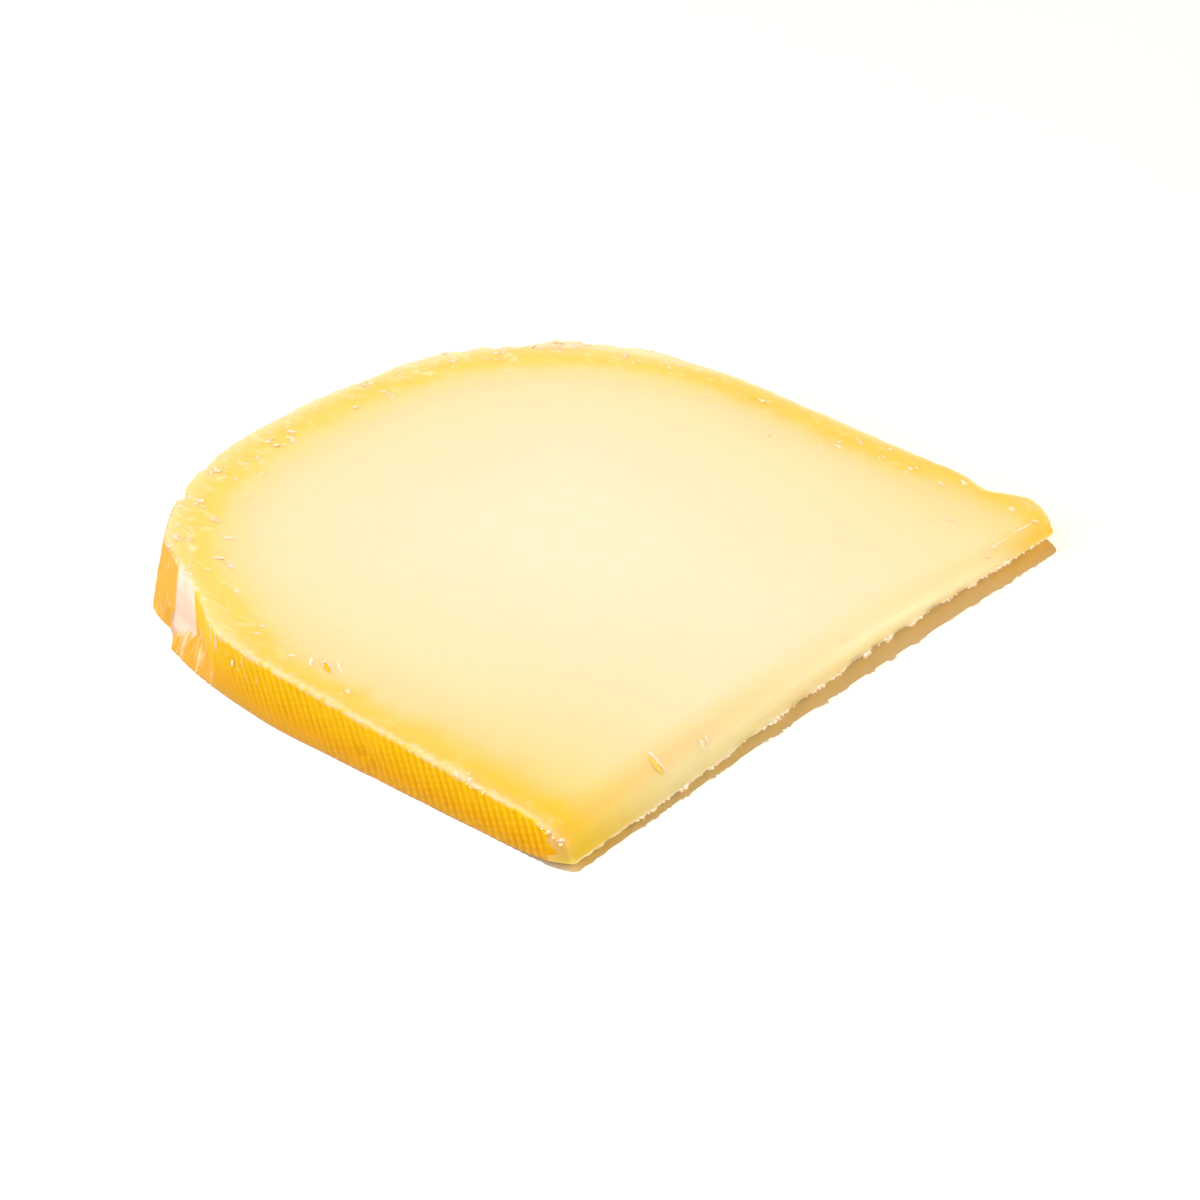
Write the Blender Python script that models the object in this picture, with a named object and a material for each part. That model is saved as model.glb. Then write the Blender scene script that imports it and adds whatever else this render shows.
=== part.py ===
"""A thin slice of a round, cloth-pressed cheese wheel, lying on one of its two knife cuts.

The slice is what two knife cuts through the wheel's axis leave between them, so it is thin at the
inner cut and thickest at the rim. X runs from one flat of the wheel to the other, Y from the inner
cut out to the rim, and Z up from the surface that the slice lies on. The origin is at the middle
of the underside's box.

One cube is divided into a lattice and every point of it is moved by formula: `outline_left`,
`outline_right`, `outline_back` and `outline_front` give the four sides of the slice in plan, and
`top_height` and `underside_height` give its two faces.
"""
import math

import bmesh
import bpy
from mathutils import Vector

MM = 0.001

# The wheel that the slice was cut from
WHEEL_HEIGHT = 110 * MM             # between its two flats
WHEEL_RADIUS = 170.7 * MM           # axis to the top of the rim
FLAT_RADIUS = 120.1 * MM            # axis to where the flats start to round into the rim
RIM_EXPONENT = 2.4                  # of the superellipse that the rim follows

# The knife cuts
SLICE_ANGLE = math.radians(4.14)    # between the top cut and the underside
INNER_RADIUS = 68.9 * MM            # axis to the inner cut
LIP_NEAR = 1.2 * MM                 # the inner cut's lower edge at the near flat, along Y
LIP_FAR = -1.2 * MM                 # and at the far flat, because that cut isn't quite square
LIP_BOW = 0.85 * MM                 # how far that cut is bowed in half way along

# The lower edge of the inner cut stands clear of the floor, and the underside curves down from it
LIFT_NEAR = 1.1 * MM
LIFT_FAR = 2.8 * MM
LIFT_BEND = (16 * MM, 75 * MM)      # between these the lift grows from one value to the other
LIFT_REACH = 30 * MM                # how far in from the lip the underside is off the floor
LIFT_POWER = 1.6

# The inner cut is a short steep facet with a long soft bevel above it
FACET_RUN = 0.95 * MM
FACET_RISE = 1.6 * MM
BEVEL_REACH = 6.3 * MM              # Y of the bevel's upper line along the near two thirds
BEVEL_REACH_FAR = 1.6 * MM
BEVEL_NARROWS = (62 * MM, 104 * MM)
BEVEL_ROUNDNESS = 0.35              # 0 is a flat bevel, 1 one that curves all the way up
FACET_FAR_SCALE = 0.45              # of the facet's run and rise where the bevel is narrowest

# A flat facet shaved off the rim beside the near flat, with a ledge of rind left under it.
# The facet's two ends are points of the plan; short faces lead from them back to the rim.
FACET_START = Vector((5.2 * MM, 72.6 * MM))
FACET_END = Vector((9.4 * MM, 81.9 * MM))
FACET_BLEND = (66.3 * MM, 87.5 * MM)    # Y where the short faces meet the rim
LEDGE_SHARES = (0.20, 0.32)             # share of the height where the ledge turns into the facet
LEDGE_BULGE = 0.9 * MM
LEDGE_RISE = (66 * MM, 78 * MM)         # along Y: the ledge swells slowly and ends abruptly
LEDGE_FALL = (78.8 * MM, 81.9 * MM)

# The soft cheese spreads at its foot: a little along both flats, more at the rim past the facet
FLAT_FOOT = 0.5 * MM
FLAT_FOOT_FADE = (50 * MM, 62 * MM)
RIM_FOOT = 2.9 * MM
RIM_FOOT_RISE = (79 * MM, 90.5 * MM)    # along Y, to the full spread
RIM_FOOT_FADE = (20 * MM, 46 * MM)      # along X, back to a plain rim

# The far corner of the inner cut: a small dent, a swelling and a round corner
DENT = (-1.1 * MM, 11.8 * MM, 3.2 * MM)     # outward amount, Y of the middle, spread
SWELL = (1.5 * MM, 5.2 * MM, 2.6 * MM)
FAR_CORNER_RUN = 2.6 * MM
FAR_CORNER_RISE = 4.0 * MM
NEAR_CORNER_RUN = 1.5 * MM          # the near corner is worn round
NEAR_CORNER_RISE = 3.0 * MM

EDGE_SOFTNESS = 0.3 * MM            # how far the rind's upper and lower edges are drawn in

# Divisions of the cube: even ones across, and a count between each two named places outwards
CELLS_ACROSS = 48
END_CROWDING = 0.75                 # 0 spaces the cells across evenly, 1 crowds them at the flats
CELLS_OUTWARD = (4, 9, 9, 2, 5, 3, 1)
DENT_END = 18 * MM
UP_SHARES = (0.0, 0.04, 0.19, 0.33, 0.65, 0.96, 1.0)

PASTE_COLOUR = (0.94, 0.83, 0.48, 1.0)
PASTE_ROUGHNESS = 0.5
SHARP_ANGLE = math.radians(35)      # edges bent more than this are shaded sharp

# What follows from the dimensions above
HALF_WIDTH = WHEEL_HEIGHT / 2
RIM_DEPTH = WHEEL_RADIUS - FLAT_RADIUS
FLAT_END = FLAT_RADIUS - INNER_RADIUS
CORNER_SHARE = 0.5 ** (1 / RIM_EXPONENT)
CORNER_X = HALF_WIDTH * (1 - CORNER_SHARE)
CORNER_Y = FLAT_END + RIM_DEPTH * CORNER_SHARE


def mix(low, high, share):
    return low + (high - low) * share


def smooth_step(low, high, value):
    """0 below low, 1 above high and an even S between them."""
    share = min(max((value - low) / (high - low), 0.0), 1.0)
    return share * share * (3 - 2 * share)


def bump(amount, middle, spread, value):
    return amount * math.exp(-((value - middle) / spread) ** 2)


def rim_x(y):
    """Distance of the near side of the wheel's profile from its flat, at the radius of y."""
    share = max(y - FLAT_END, 0.0) / RIM_DEPTH
    return HALF_WIDTH * (1 - (1 - share ** RIM_EXPONENT) ** (1 / RIM_EXPONENT))


def rim_y(x):
    share = abs(x - HALF_WIDTH) / HALF_WIDTH
    return FLAT_END + RIM_DEPTH * (1 - share ** RIM_EXPONENT) ** (1 / RIM_EXPONENT)


def rim_normal(x, y):
    """Outward direction of the superellipse at a point on it."""
    across = (x - HALF_WIDTH) / HALF_WIDTH
    outward = max(y - FLAT_END, 0.0) / RIM_DEPTH
    power = RIM_EXPONENT - 1
    slope_x = math.copysign(abs(across) ** power, across) / HALF_WIDTH
    return Vector((slope_x, outward ** power / RIM_DEPTH)).normalized()


def shaved_x(y):
    """The near side with the facet taken off: three straight lines between four points."""
    places = [Vector((rim_x(FACET_BLEND[0]), FACET_BLEND[0])), FACET_START,
              FACET_END, Vector((rim_x(FACET_BLEND[1]), FACET_BLEND[1]))]
    for low, high in zip(places, places[1:]):
        if low.y <= y <= high.y:
            return mix(low.x, high.x, (y - low.y) / (high.y - low.y))
    return rim_x(y)


def lip_y(x):
    along = x / WHEEL_HEIGHT
    return mix(LIP_NEAR, LIP_FAR, along) + LIP_BOW * math.sin(math.pi * along)


def lip_lift(x):
    return mix(LIFT_NEAR, LIFT_FAR, smooth_step(*LIFT_BEND, x))


def bevel_y(x):
    return mix(BEVEL_REACH, BEVEL_REACH_FAR, smooth_step(*BEVEL_NARROWS, x))


def facet_scale(x):
    """The steep facet shrinks with the bevel towards the far flat."""
    return mix(1.0, FACET_FAR_SCALE, smooth_step(*BEVEL_NARROWS, x))


def cut_height(y):
    """Height of the top cut, which passes through the wheel's axis."""
    return math.tan(SLICE_ANGLE) * (y + INNER_RADIUS)


def underside_height(x, y):
    rest = 1 - (y - lip_y(x)) / LIFT_REACH
    return lip_lift(x) * min(max(rest, 0.0), 1.0) ** LIFT_POWER


def facet_top(x):
    """The crease between the steep facet and the bevel, as (y, z)."""
    scale = facet_scale(x)
    return lip_y(x) + FACET_RUN * scale, lip_lift(x) + FACET_RISE * scale


def top_height(x, y):
    """The top cut, or the bevel where that lies lower."""
    crease_y, crease_z = facet_top(x)
    bevel_end = bevel_y(x)
    share = min(max((y - crease_y) / (bevel_end - crease_y), 0.0), 1.0)
    soft = mix(share, share * (2 - share), BEVEL_ROUNDNESS)
    return mix(crease_z, cut_height(max(y, bevel_end)), soft)


def outline_left(share, height):
    """The near flat and its share of the rim, from the inner cut up to the rim's corner."""
    start = facet_top(0)[0]
    y = mix(start, CORNER_Y, share)
    ledge_end = smooth_step(*LEDGE_FALL, y)
    facet = mix(smooth_step(*LEDGE_SHARES, height), 1.0, ledge_end)
    plain = rim_x(y)
    worn = max(1 - (y - start) / NEAR_CORNER_RISE, 0.0)
    x = mix(plain, shaved_x(y), facet) + NEAR_CORNER_RUN * (1 - math.sqrt(1 - worn * worn))
    flat_foot = FLAT_FOOT * (1 - smooth_step(*FLAT_FOOT_FADE, y))
    rim_foot = RIM_FOOT * smooth_step(*RIM_FOOT_RISE, y)
    ledge = LEDGE_BULGE * smooth_step(*LEDGE_RISE, y) * (1 - ledge_end) * (1 - facet)
    spread = (flat_foot + rim_foot) * (1 - height) + ledge
    return Vector((x, y)) + rim_normal(plain, y) * spread


def outline_right(share, height):
    """The far flat and its share of the rim."""
    start = facet_top(WHEEL_HEIGHT)[0]
    y = mix(start, CORNER_Y, share)
    x = WHEEL_HEIGHT - rim_x(y)
    spread = FLAT_FOOT * (1 - smooth_step(*FLAT_FOOT_FADE, y)) * (1 - height)
    foot = rim_normal(x, y) * spread
    x += bump(*DENT, y) + bump(*SWELL, y)
    worn = max(1 - (y - start) / FAR_CORNER_RISE, 0.0)
    return Vector((x - FAR_CORNER_RUN * (1 - math.sqrt(1 - worn * worn)), y)) + foot


def outline_back(share, height):
    """The rim between its two corners."""
    x = mix(CORNER_X, WHEEL_HEIGHT - CORNER_X, share)
    y = rim_y(x)
    foot = RIM_FOOT * (1 - smooth_step(*RIM_FOOT_FADE, x)) * (1 - height)
    return Vector((x, y)) + rim_normal(x, y) * foot


def outline_front(share, height):
    """The crease above the steep facet of the inner cut."""
    x = mix(outline_left(0, height).x, outline_right(0, height).x, share)
    return Vector((x, facet_top(x)[0]))


def plan_point(across, outward, height):
    """The point of the plan at two shares, blended from the four outlines around it."""
    left = outline_left(outward, height)
    right = outline_right(outward, height)
    front = outline_front(across, height)
    back = outline_back(across, height)
    front_corners = outline_left(0, height).lerp(outline_right(0, height), across)
    back_corners = outline_left(1, height).lerp(outline_right(1, height), across)
    sides = left.lerp(right, across)
    ends = front.lerp(back, outward)
    return sides + ends - front_corners.lerp(back_corners, outward)


def lean_out(y, height_here, height_top):
    """A point of the rind keeps its distance from the wheel's axis, below the top cut too."""
    radius_squared = (y + INNER_RADIUS) ** 2 + height_top ** 2
    return math.sqrt(radius_squared - height_here ** 2) - INNER_RADIUS


def shaped_point(across, outward, up):
    """Where the cube's surface point with these three shares goes."""
    plan = plan_point(across, outward, up)
    if outward == 0:
        x = plan.x
        crease_y, crease_z = facet_top(x)
        return Vector((x, mix(lip_y(x), crease_y, up), mix(lip_lift(x), crease_z, up)))
    on_rind = across in (0.0, 1.0) or outward == 1.0
    if on_rind and up in (0.0, 1.0):
        middle = Vector((HALF_WIDTH, FLAT_END))
        inward = (middle - plan).normalized() * EDGE_SOFTNESS
        plan += inward * smooth_step(0.0, bevel_share(), outward)
    top = top_height(plan.x, plan.y)
    bottom = underside_height(plan.x, plan.y)
    z = mix(bottom, top, up)
    if up < 1:
        plan.y = mix(plan.y, lean_out(plan.y, z, top), outward)
    return Vector((plan.x, plan.y, z))


def across_share(cell):
    """Even cells drawn towards both ends, so that the corners get the finer ones."""
    even = cell / CELLS_ACROSS
    return even - END_CROWDING * math.sin(2 * math.pi * even) / (2 * math.pi)


def share_of_y(y):
    start = facet_top(0)[0]
    return (y - start) / (CORNER_Y - start)


def bevel_share():
    return share_of_y(BEVEL_REACH)


def outward_shares():
    """Rows of cells between the bevel's end, the dent, the facet's places and the rim."""
    places = (0.0, bevel_share(), share_of_y(DENT_END),
              share_of_y(FACET_BLEND[0]), share_of_y(FACET_START.y),
              share_of_y(FACET_END.y), share_of_y(FACET_BLEND[1]), 1.0)
    shares = [0.0]
    for low, high, cells in zip(places, places[1:], CELLS_OUTWARD):
        shares += [mix(low, high, (cell + 1) / cells) for cell in range(cells)]
    return shares


def lattice_cube(counts):
    """A cube from 0 to 1 each way, cut by evenly spaced planes along each axis."""
    shape = bmesh.new()
    bmesh.ops.create_cube(shape, size=1.0)
    bmesh.ops.translate(shape, vec=Vector((0.5, 0.5, 0.5)), verts=shape.verts)
    for axis, cells in enumerate(counts):
        normal = Vector([1.0 if index == axis else 0.0 for index in range(3)])
        for cut in range(1, cells):
            everything = shape.verts[:] + shape.edges[:] + shape.faces[:]
            bmesh.ops.bisect_plane(shape, geom=everything, dist=1e-6,
                                   plane_co=normal * (cut / cells), plane_no=normal)
    return shape


def shape_slice():
    outward = outward_shares()
    counts = (CELLS_ACROSS, len(outward) - 1, len(UP_SHARES) - 1)
    shape = lattice_cube(counts)
    for vert in shape.verts:
        column, row, level = (round(share * count) for share, count in zip(vert.co, counts))
        vert.co = shaped_point(across_share(column), outward[row], UP_SHARES[level])
    bmesh.ops.triangulate(shape, faces=shape.faces)
    bmesh.ops.recalc_face_normals(shape, faces=shape.faces)
    return shape


def centre_on_floor(shape):
    """Bring the middle of the underside's box to the origin."""
    xs = [vert.co.x for vert in shape.verts]
    ys = [vert.co.y for vert in shape.verts]
    middle = Vector(((min(xs) + max(xs)) / 2, (min(ys) + max(ys)) / 2, 0.0))
    bmesh.ops.translate(shape, vec=-middle, verts=shape.verts)


def paste_material():
    material = bpy.data.materials.new("cheese paste")
    material.use_nodes = True
    shader = material.node_tree.nodes["Principled BSDF"]
    shader.inputs["Base Color"].default_value = PASTE_COLOUR
    shader.inputs["Roughness"].default_value = PASTE_ROUGHNESS
    shader.inputs["Metallic"].default_value = 0.0
    return material


def build_slice(collection):
    shape = shape_slice()
    centre_on_floor(shape)
    mesh = bpy.data.meshes.new("cheese_wedge")
    shape.to_mesh(mesh)
    shape.free()
    mesh.materials.append(paste_material())
    mesh.shade_smooth()
    mesh.set_sharp_from_angle(angle=SHARP_ANGLE)
    slice_object = bpy.data.objects.new("cheese_wedge", mesh)
    collection.objects.link(slice_object)
    return slice_object


def main():
    for item in list(bpy.data.objects):
        bpy.data.objects.remove(item, do_unlink=True)
    collection = bpy.data.collections.new("cheese wedge")
    bpy.context.scene.collection.children.link(collection)
    build_slice(collection)


main()
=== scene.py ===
import math

import bpy
import numpy as np
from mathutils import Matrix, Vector


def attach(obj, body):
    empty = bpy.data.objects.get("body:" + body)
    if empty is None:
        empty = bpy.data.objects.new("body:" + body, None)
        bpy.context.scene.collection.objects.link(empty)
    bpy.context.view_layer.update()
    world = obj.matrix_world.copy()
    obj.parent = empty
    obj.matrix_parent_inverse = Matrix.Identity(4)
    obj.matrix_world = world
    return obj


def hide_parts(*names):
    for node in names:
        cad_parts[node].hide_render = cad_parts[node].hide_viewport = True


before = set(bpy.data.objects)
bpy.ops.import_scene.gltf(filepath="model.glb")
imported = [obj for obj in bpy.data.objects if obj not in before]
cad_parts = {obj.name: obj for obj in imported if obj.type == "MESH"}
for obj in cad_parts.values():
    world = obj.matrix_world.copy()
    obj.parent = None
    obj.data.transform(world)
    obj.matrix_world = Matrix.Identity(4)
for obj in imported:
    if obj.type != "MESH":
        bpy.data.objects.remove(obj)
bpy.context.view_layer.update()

print("frame loaded")

# Everything is worked out in mm on the slice: x from one flat of the wheel to the other, y from the
# inner cut out to the rim, z up. The frame's origin is under the middle of the slice's box.
metresPerMm = 0.001
boxMiddle = np.array([55.711, 50.571, 0.0])


def mix(low, high, share):
    return low + (high - low) * share


def clamp(value, low=0.0, high=1.0):
    return np.minimum(np.maximum(value, low), high)


# 0 below low, 1 above high and a straight rise between them; low above high turns it round
def straightStep(low, high, value):
    return clamp((value - low) / (high - low))


# the same with an even S between them: s^2 (3 - 2s)
def smoothStep(low, high, value):
    share = straightStep(low, high, value)
    return share * share * (3 - 2 * share)


# 1 between two values, falling to 0 over the edge's width outside them
def band(low, high, edge, value):
    return smoothStep(low - edge, low, value) * smoothStep(high + edge, high, value)


# exp(-((value - middle) / spread)^2)
def bell(value, middle, spread):
    return np.exp(-((value - middle) / spread) ** 2)


# the lower of two heights, rounded by up to a quarter of the width where they cross
def softLower(a, b, width):
    near = clamp(1 - np.abs(a - b) / width)
    return np.minimum(a, b) - near * near * width / 4


# random heights from -1 to 1 on a square lattice of step 1, joined by an even S both ways
def softNoise(x, y, seed):
    side = 64
    heights = np.random.default_rng(seed).uniform(-1, 1, (side, side))
    u, v = np.broadcast_arrays(x, y)
    i, j = np.floor(u).astype(int), np.floor(v).astype(int)
    s, t = (w * w * (3 - 2 * w) for w in (u - i, v - j))
    near = mix(heights[i % side, j % side], heights[(i + 1) % side, j % side], s)
    far = mix(heights[i % side, (j + 1) % side], heights[(i + 1) % side, (j + 1) % side], s)
    return mix(near, far, t)


endless = math.inf              # the size of a noise in a direction along which it doesn't change


# sum of amount * noise, each layer with its size in mm along, its size in mm up and its seed
def layeredNoise(along, up, layers):
    return sum(amount * softNoise(along / size, up / upSize, seed) for amount, size, upSize, seed in layers)


# sRGB hex to linear red, green and blue: the standard curve, channel by channel
def hexColour(text):
    channels = [int(text[k:k + 2], 16) / 255 for k in (0, 2, 4)]
    return [c / 12.92 if c <= 0.04045 else ((c + 0.055) / 1.055) ** 2.4 for c in channels]


view = {
    "eye": (-0.2619, -0.2262, 0.1996),      # m
    "aim": (-0.0021, -0.0092, 0.0),
    "lens": 81.28,              # mm
    "sensor": 36.0,
    "nearest": 0.01,            # m
}


def addCamera():
    data = bpy.data.cameras.new("camera")
    data.lens = view["lens"]
    data.sensor_width = view["sensor"]
    data.clip_start = view["nearest"]
    camera = bpy.data.objects.new("camera", data)
    camera.location = view["eye"]
    look = Vector(view["aim"]) - Vector(view["eye"])
    camera.rotation_euler = look.to_track_quat("-Z", "Y").to_euler()
    bpy.context.scene.collection.objects.link(camera)
    bpy.context.scene.camera = camera


studio = {
    "skyStrength": 0.10,
    "sunStrength": 2.54,
    "sunFrom": (0.0, 0.3, 1.0),
    "sunAngle": 3.0,            # degrees
    # a white softbox beside the near flat and a warm reflector facing the inner cut:
    # place in m, side in m, power in W, colour
    "panels": {
        "softbox": ((-0.60, 0.25, 0.45), 0.8, 2.9, (1.0, 1.0, 1.0)),
        "reflector": ((0.34, -0.61, 0.48), 0.6, 4.5, (1.0, 0.485, 0.015)),
    },
    "floorRadius": 3.0,         # m
    "floorRings": 12,
    "floorColumns": 96,
    "floorColour": "fcfcfc",
    "floorRoughness": 0.9,
}


def addLights():
    world = bpy.data.worlds.new("white tent")
    world.use_nodes = True
    background = world.node_tree.nodes["Background"]
    background.inputs["Color"].default_value = (1, 1, 1, 1)
    background.inputs["Strength"].default_value = studio["skyStrength"]
    bpy.context.scene.world = world
    data = bpy.data.lights.new("lamp", "SUN")
    data.energy = studio["sunStrength"]
    data.angle = math.radians(studio["sunAngle"])
    lamp = bpy.data.objects.new("lamp", data)
    lamp.rotation_euler = Vector(studio["sunFrom"]).to_track_quat("Z", "Y").to_euler()
    bpy.context.scene.collection.objects.link(lamp)
    for name, (place, side, power, colour) in studio["panels"].items():
        data = bpy.data.lights.new(name, "AREA")
        data.size = side
        data.energy = power
        data.color = colour
        panel = bpy.data.objects.new(name, data)
        panel.location = place
        panel.rotation_euler = Vector(place).to_track_quat("Z", "Y").to_euler()
        bpy.context.scene.collection.objects.link(panel)
    bpy.context.scene.view_settings.view_transform = "Standard"


# an object made of points in metres and groups of faces
def addMesh(name, points, groups):
    mesh = bpy.data.meshes.new(name)
    mesh.from_pydata(points.tolist(), [], [face for group in groups for face in group.tolist()])
    thing = bpy.data.objects.new(name, mesh)
    bpy.context.scene.collection.objects.link(thing)
    return thing


# rings at the radius times the square of the ring's share, closed by a fan in the middle
def addFloor():
    rings, columns = studio["floorRings"], studio["floorColumns"]
    radius = studio["floorRadius"] * (np.arange(1, rings + 1) / rings) ** 2
    turn = np.arange(columns) * 2 * math.pi / columns
    x, y = radius[:, None] * np.cos(turn), radius[:, None] * np.sin(turn)
    points = np.stack([x, y, np.zeros_like(x)], -1).reshape(-1, 3)
    here = np.arange(columns)
    after = (here + 1) % columns
    low = (np.arange(rings - 1) * columns)[:, None]
    sheet = np.stack([low + here, low + columns + here, low + columns + after, low + after], -1)
    fan = np.stack([np.full(columns, rings * columns), here, after], -1)
    floor = addMesh("floor", np.vstack([points, np.zeros((1, 3))]), [sheet.reshape(-1, 4), fan])
    material = bpy.data.materials.new("white board, matt")
    material.use_nodes = True
    shader = material.node_tree.nodes["Principled BSDF"]
    shader.inputs["Base Color"].default_value = (*hexColour(studio["floorColour"]), 1)
    shader.inputs["Roughness"].default_value = studio["floorRoughness"]
    shader.inputs["Specular IOR Level"].default_value = 0.0
    floor.data.materials.append(material)


addCamera()
addLights()
addFloor()
print("camera, lights and floor in place")

wheel = {
    "height": 110.0,            # between its two flats
    "flatEnd": 51.2,            # y where the flats start to round into the rim
    "rimDepth": 50.6,           # from there to the top of the rim
    "exponent": 2.4,            # of the superellipse that the rim follows
    "axis": -68.9,              # y of the wheel's axis, where the two knife cuts meet
    "slope": math.tan(math.radians(4.14)),
}

cuts = {
    "lip": (1.2, -1.2),         # y of the inner cut's lower edge at the near and far flat
    "bow": 0.85,                # it is bowed in by this half way along
    "lift": (1.1, 2.8),         # its height above the floor, near and far
    "liftBend": (16.0, 75.0),   # x over which it rises
    # from the lip back to where the underside meets the floor: at the near flat and further in,
    # and x over which the one turns into the other
    "liftReach": (11.0, 30.0),
    "liftSpreads": 14.0,
    "liftPower": 1.6,
    "facetRun": 0.95,           # of the steep facet under the bevel
    "facetRise": 1.6,
    "facetFarScale": 0.45,
    "bevel": (6.3, 1.6),        # y of the bevel's upper line near and far
    "bevelNarrows": (62.0, 104.0),
    "bevelRoundness": 0.35,
    "ridgeWidth": 0.80,         # over which the bevel's upper line is rounded
}

outlineForm = {
    "facetY": (66.3, 73.8, 81.9, 87.5),     # the shaved facet's four places along the rim
    "facetX": (5.7, 9.4),
    "ledgeShares": (0.02, 0.30),
    "ledgeBulge": 0.7,
    "ledgeRise": (66.0, 78.0),
    "ledgeFall": (78.0, 82.2),
    "flatFoot": 0.5,
    "flatFootFade": (50.0, 62.0),
    "rimFoot": 2.3,
    "rimFootRise": (75.0, 86.5),
    "rimFootFade": (20.0, 46.0),
    # of the far flat: amount, y, spread
    "bumps": ((-1.1, 11.8, 2.6), (1.5, 5.2, 2.6), (0.35, 19.5, 4.0)),
    # chipped and rubbed places of the rim: x, depth, spread before it and after it
    "rimWear": ((21.6, 0.95, 0.45, 2.2), (29.5, 0.30, 0.4, 2.0), (48.0, 0.42, 14.0, 16.0),
                (68.0, 0.85, 7.5, 4.5), (82.3, -0.35, 1.0, 0.8), (84.6, 0.60, 0.6, 2.2),
                (89.5, 0.60, 0.7, 1.5), (92.8, 1.10, 2.6, 2.8), (98.8, -0.85, 2.2, 2.2),
                (101.2, 0.60, 0.35, 0.45), (102.9, -0.40, 0.8, 0.7), (105.7, -0.95, 1.0, 1.3),
                (107.5, -0.35, 0.8, 0.5)),
    "rimWearFoot": 0.35,        # share of it at the foot
    "rimWearStarts": (60, 68),  # y of the far side over which it comes in
    "farCorner": (2.6, 4.0),    # run and rise of the two worn corners
    "nearCorner": (1.5, 3.0),
    "slantEnd": 1.04,           # the inner cut's slant dies away over this much of each flat
}

halfWidth = wheel["height"] / 2
cornerShare = 0.5 ** (1 / wheel["exponent"])
cornerX = halfWidth * (1 - cornerShare)
cornerY = wheel["flatEnd"] + wheel["rimDepth"] * cornerShare


# one half of the superellipse: (1 - s^n)^(1/n)
def roundedShare(share):
    return (1 - clamp(share) ** wheel["exponent"]) ** (1 / wheel["exponent"])


def rimX(y):
    return halfWidth * (1 - roundedShare((y - wheel["flatEnd"]) / wheel["rimDepth"]))


def rimY(x):
    return wheel["flatEnd"] + wheel["rimDepth"] * roundedShare(np.abs(x - halfWidth) / halfWidth)


# unit gradient of the superellipse at a point on it
def rimNormal(x, y):
    across = (x - halfWidth) / halfWidth
    outward = clamp((y - wheel["flatEnd"]) / wheel["rimDepth"])
    power = wheel["exponent"] - 1
    nx = np.sign(across) * np.abs(across) ** power / halfWidth
    ny = outward ** power / wheel["rimDepth"]
    size = np.hypot(nx, ny)
    return nx / size, ny / size


# distance in from the rind: (1 - r) over the gradient of r, with r^n = across^n + outward^n
def rindDepth(x, y):
    n = wheel["exponent"]
    across = np.abs(x - halfWidth) / halfWidth
    outward = clamp((y - wheel["flatEnd"]) / wheel["rimDepth"], 0, 2)
    r = np.maximum((across ** n + outward ** n) ** (1 / n), 1e-3)
    gx = (across / r) ** (n - 1) / halfWidth
    gy = (outward / r) ** (n - 1) / wheel["rimDepth"]
    return (1 - r) / np.maximum(np.hypot(gx, gy), 1e-4)


# three straight lines between the facet's four places, and the plain rim elsewhere
def shavedX(y):
    places = np.array(outlineForm["facetY"])
    ends = [rimX(places[0]), *outlineForm["facetX"], rimX(places[3])]
    return np.where((y > places[0]) & (y < places[3]), np.interp(y, places, ends), rimX(y))


def narrowing(x):
    return smoothStep(*cuts["bevelNarrows"], x)


def bevelY(x):
    return mix(*cuts["bevel"], narrowing(x))


# a straight line from end to end, bowed in as half a sine
def lipY(x):
    return mix(*cuts["lip"], x / wheel["height"]) + cuts["bow"] * np.sin(math.pi * x / wheel["height"])


def lipLift(x):
    return mix(*cuts["lift"], smoothStep(*cuts["liftBend"], x))


def cutHeight(y):
    return wheel["slope"] * (y - wheel["axis"])


# the lip's height, falling to the floor as (1 - share of the reach)^power; the reach is short at the
# near flat and long further in
def undersideHeight(x, y):
    reach = mix(*cuts["liftReach"], smoothStep(0, cuts["liftSpreads"], x))
    return lipLift(x) * clamp(1 - (y - lipY(x)) / reach) ** cuts["liftPower"]


# y and z of the crease between the steep facet and the bevel
def facetTop(x):
    scale = mix(1.0, cuts["facetFarScale"], narrowing(x))
    return lipY(x) + cuts["facetRun"] * scale, lipLift(x) + cuts["facetRise"] * scale


# the lower of the top cut and the slightly rounded bevel that rises from the crease
def topHeight(x, y):
    creaseY, creaseZ = facetTop(x)
    end = bevelY(x)
    share = (y - creaseY) / (end - creaseY)
    bulge = cuts["bevelRoundness"] * clamp(share) * (1 - clamp(share))
    bevel = mix(creaseZ, cutHeight(end), np.maximum(share, 0) + bulge)
    return softLower(bevel, cutHeight(y), cuts["ridgeWidth"])


# sum of depth * exp(-((x - middle) / spread)^2), less at the foot of the rim
def rimWear(x, height):
    wear = sum(depth * bell(x, middle, np.where(x < middle, before, after))
               for middle, depth, before, after in outlineForm["rimWear"])
    return wear * mix(outlineForm["rimWearFoot"], 1.0, height)


# run * (1 - sqrt(1 - worn^2)), worn falling from 1 to 0 over the rise
def wornCorner(y, start, run, rise):
    worn = clamp(1 - (y - start) / rise)
    return run * (1 - np.sqrt(1 - worn * worn))


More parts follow.
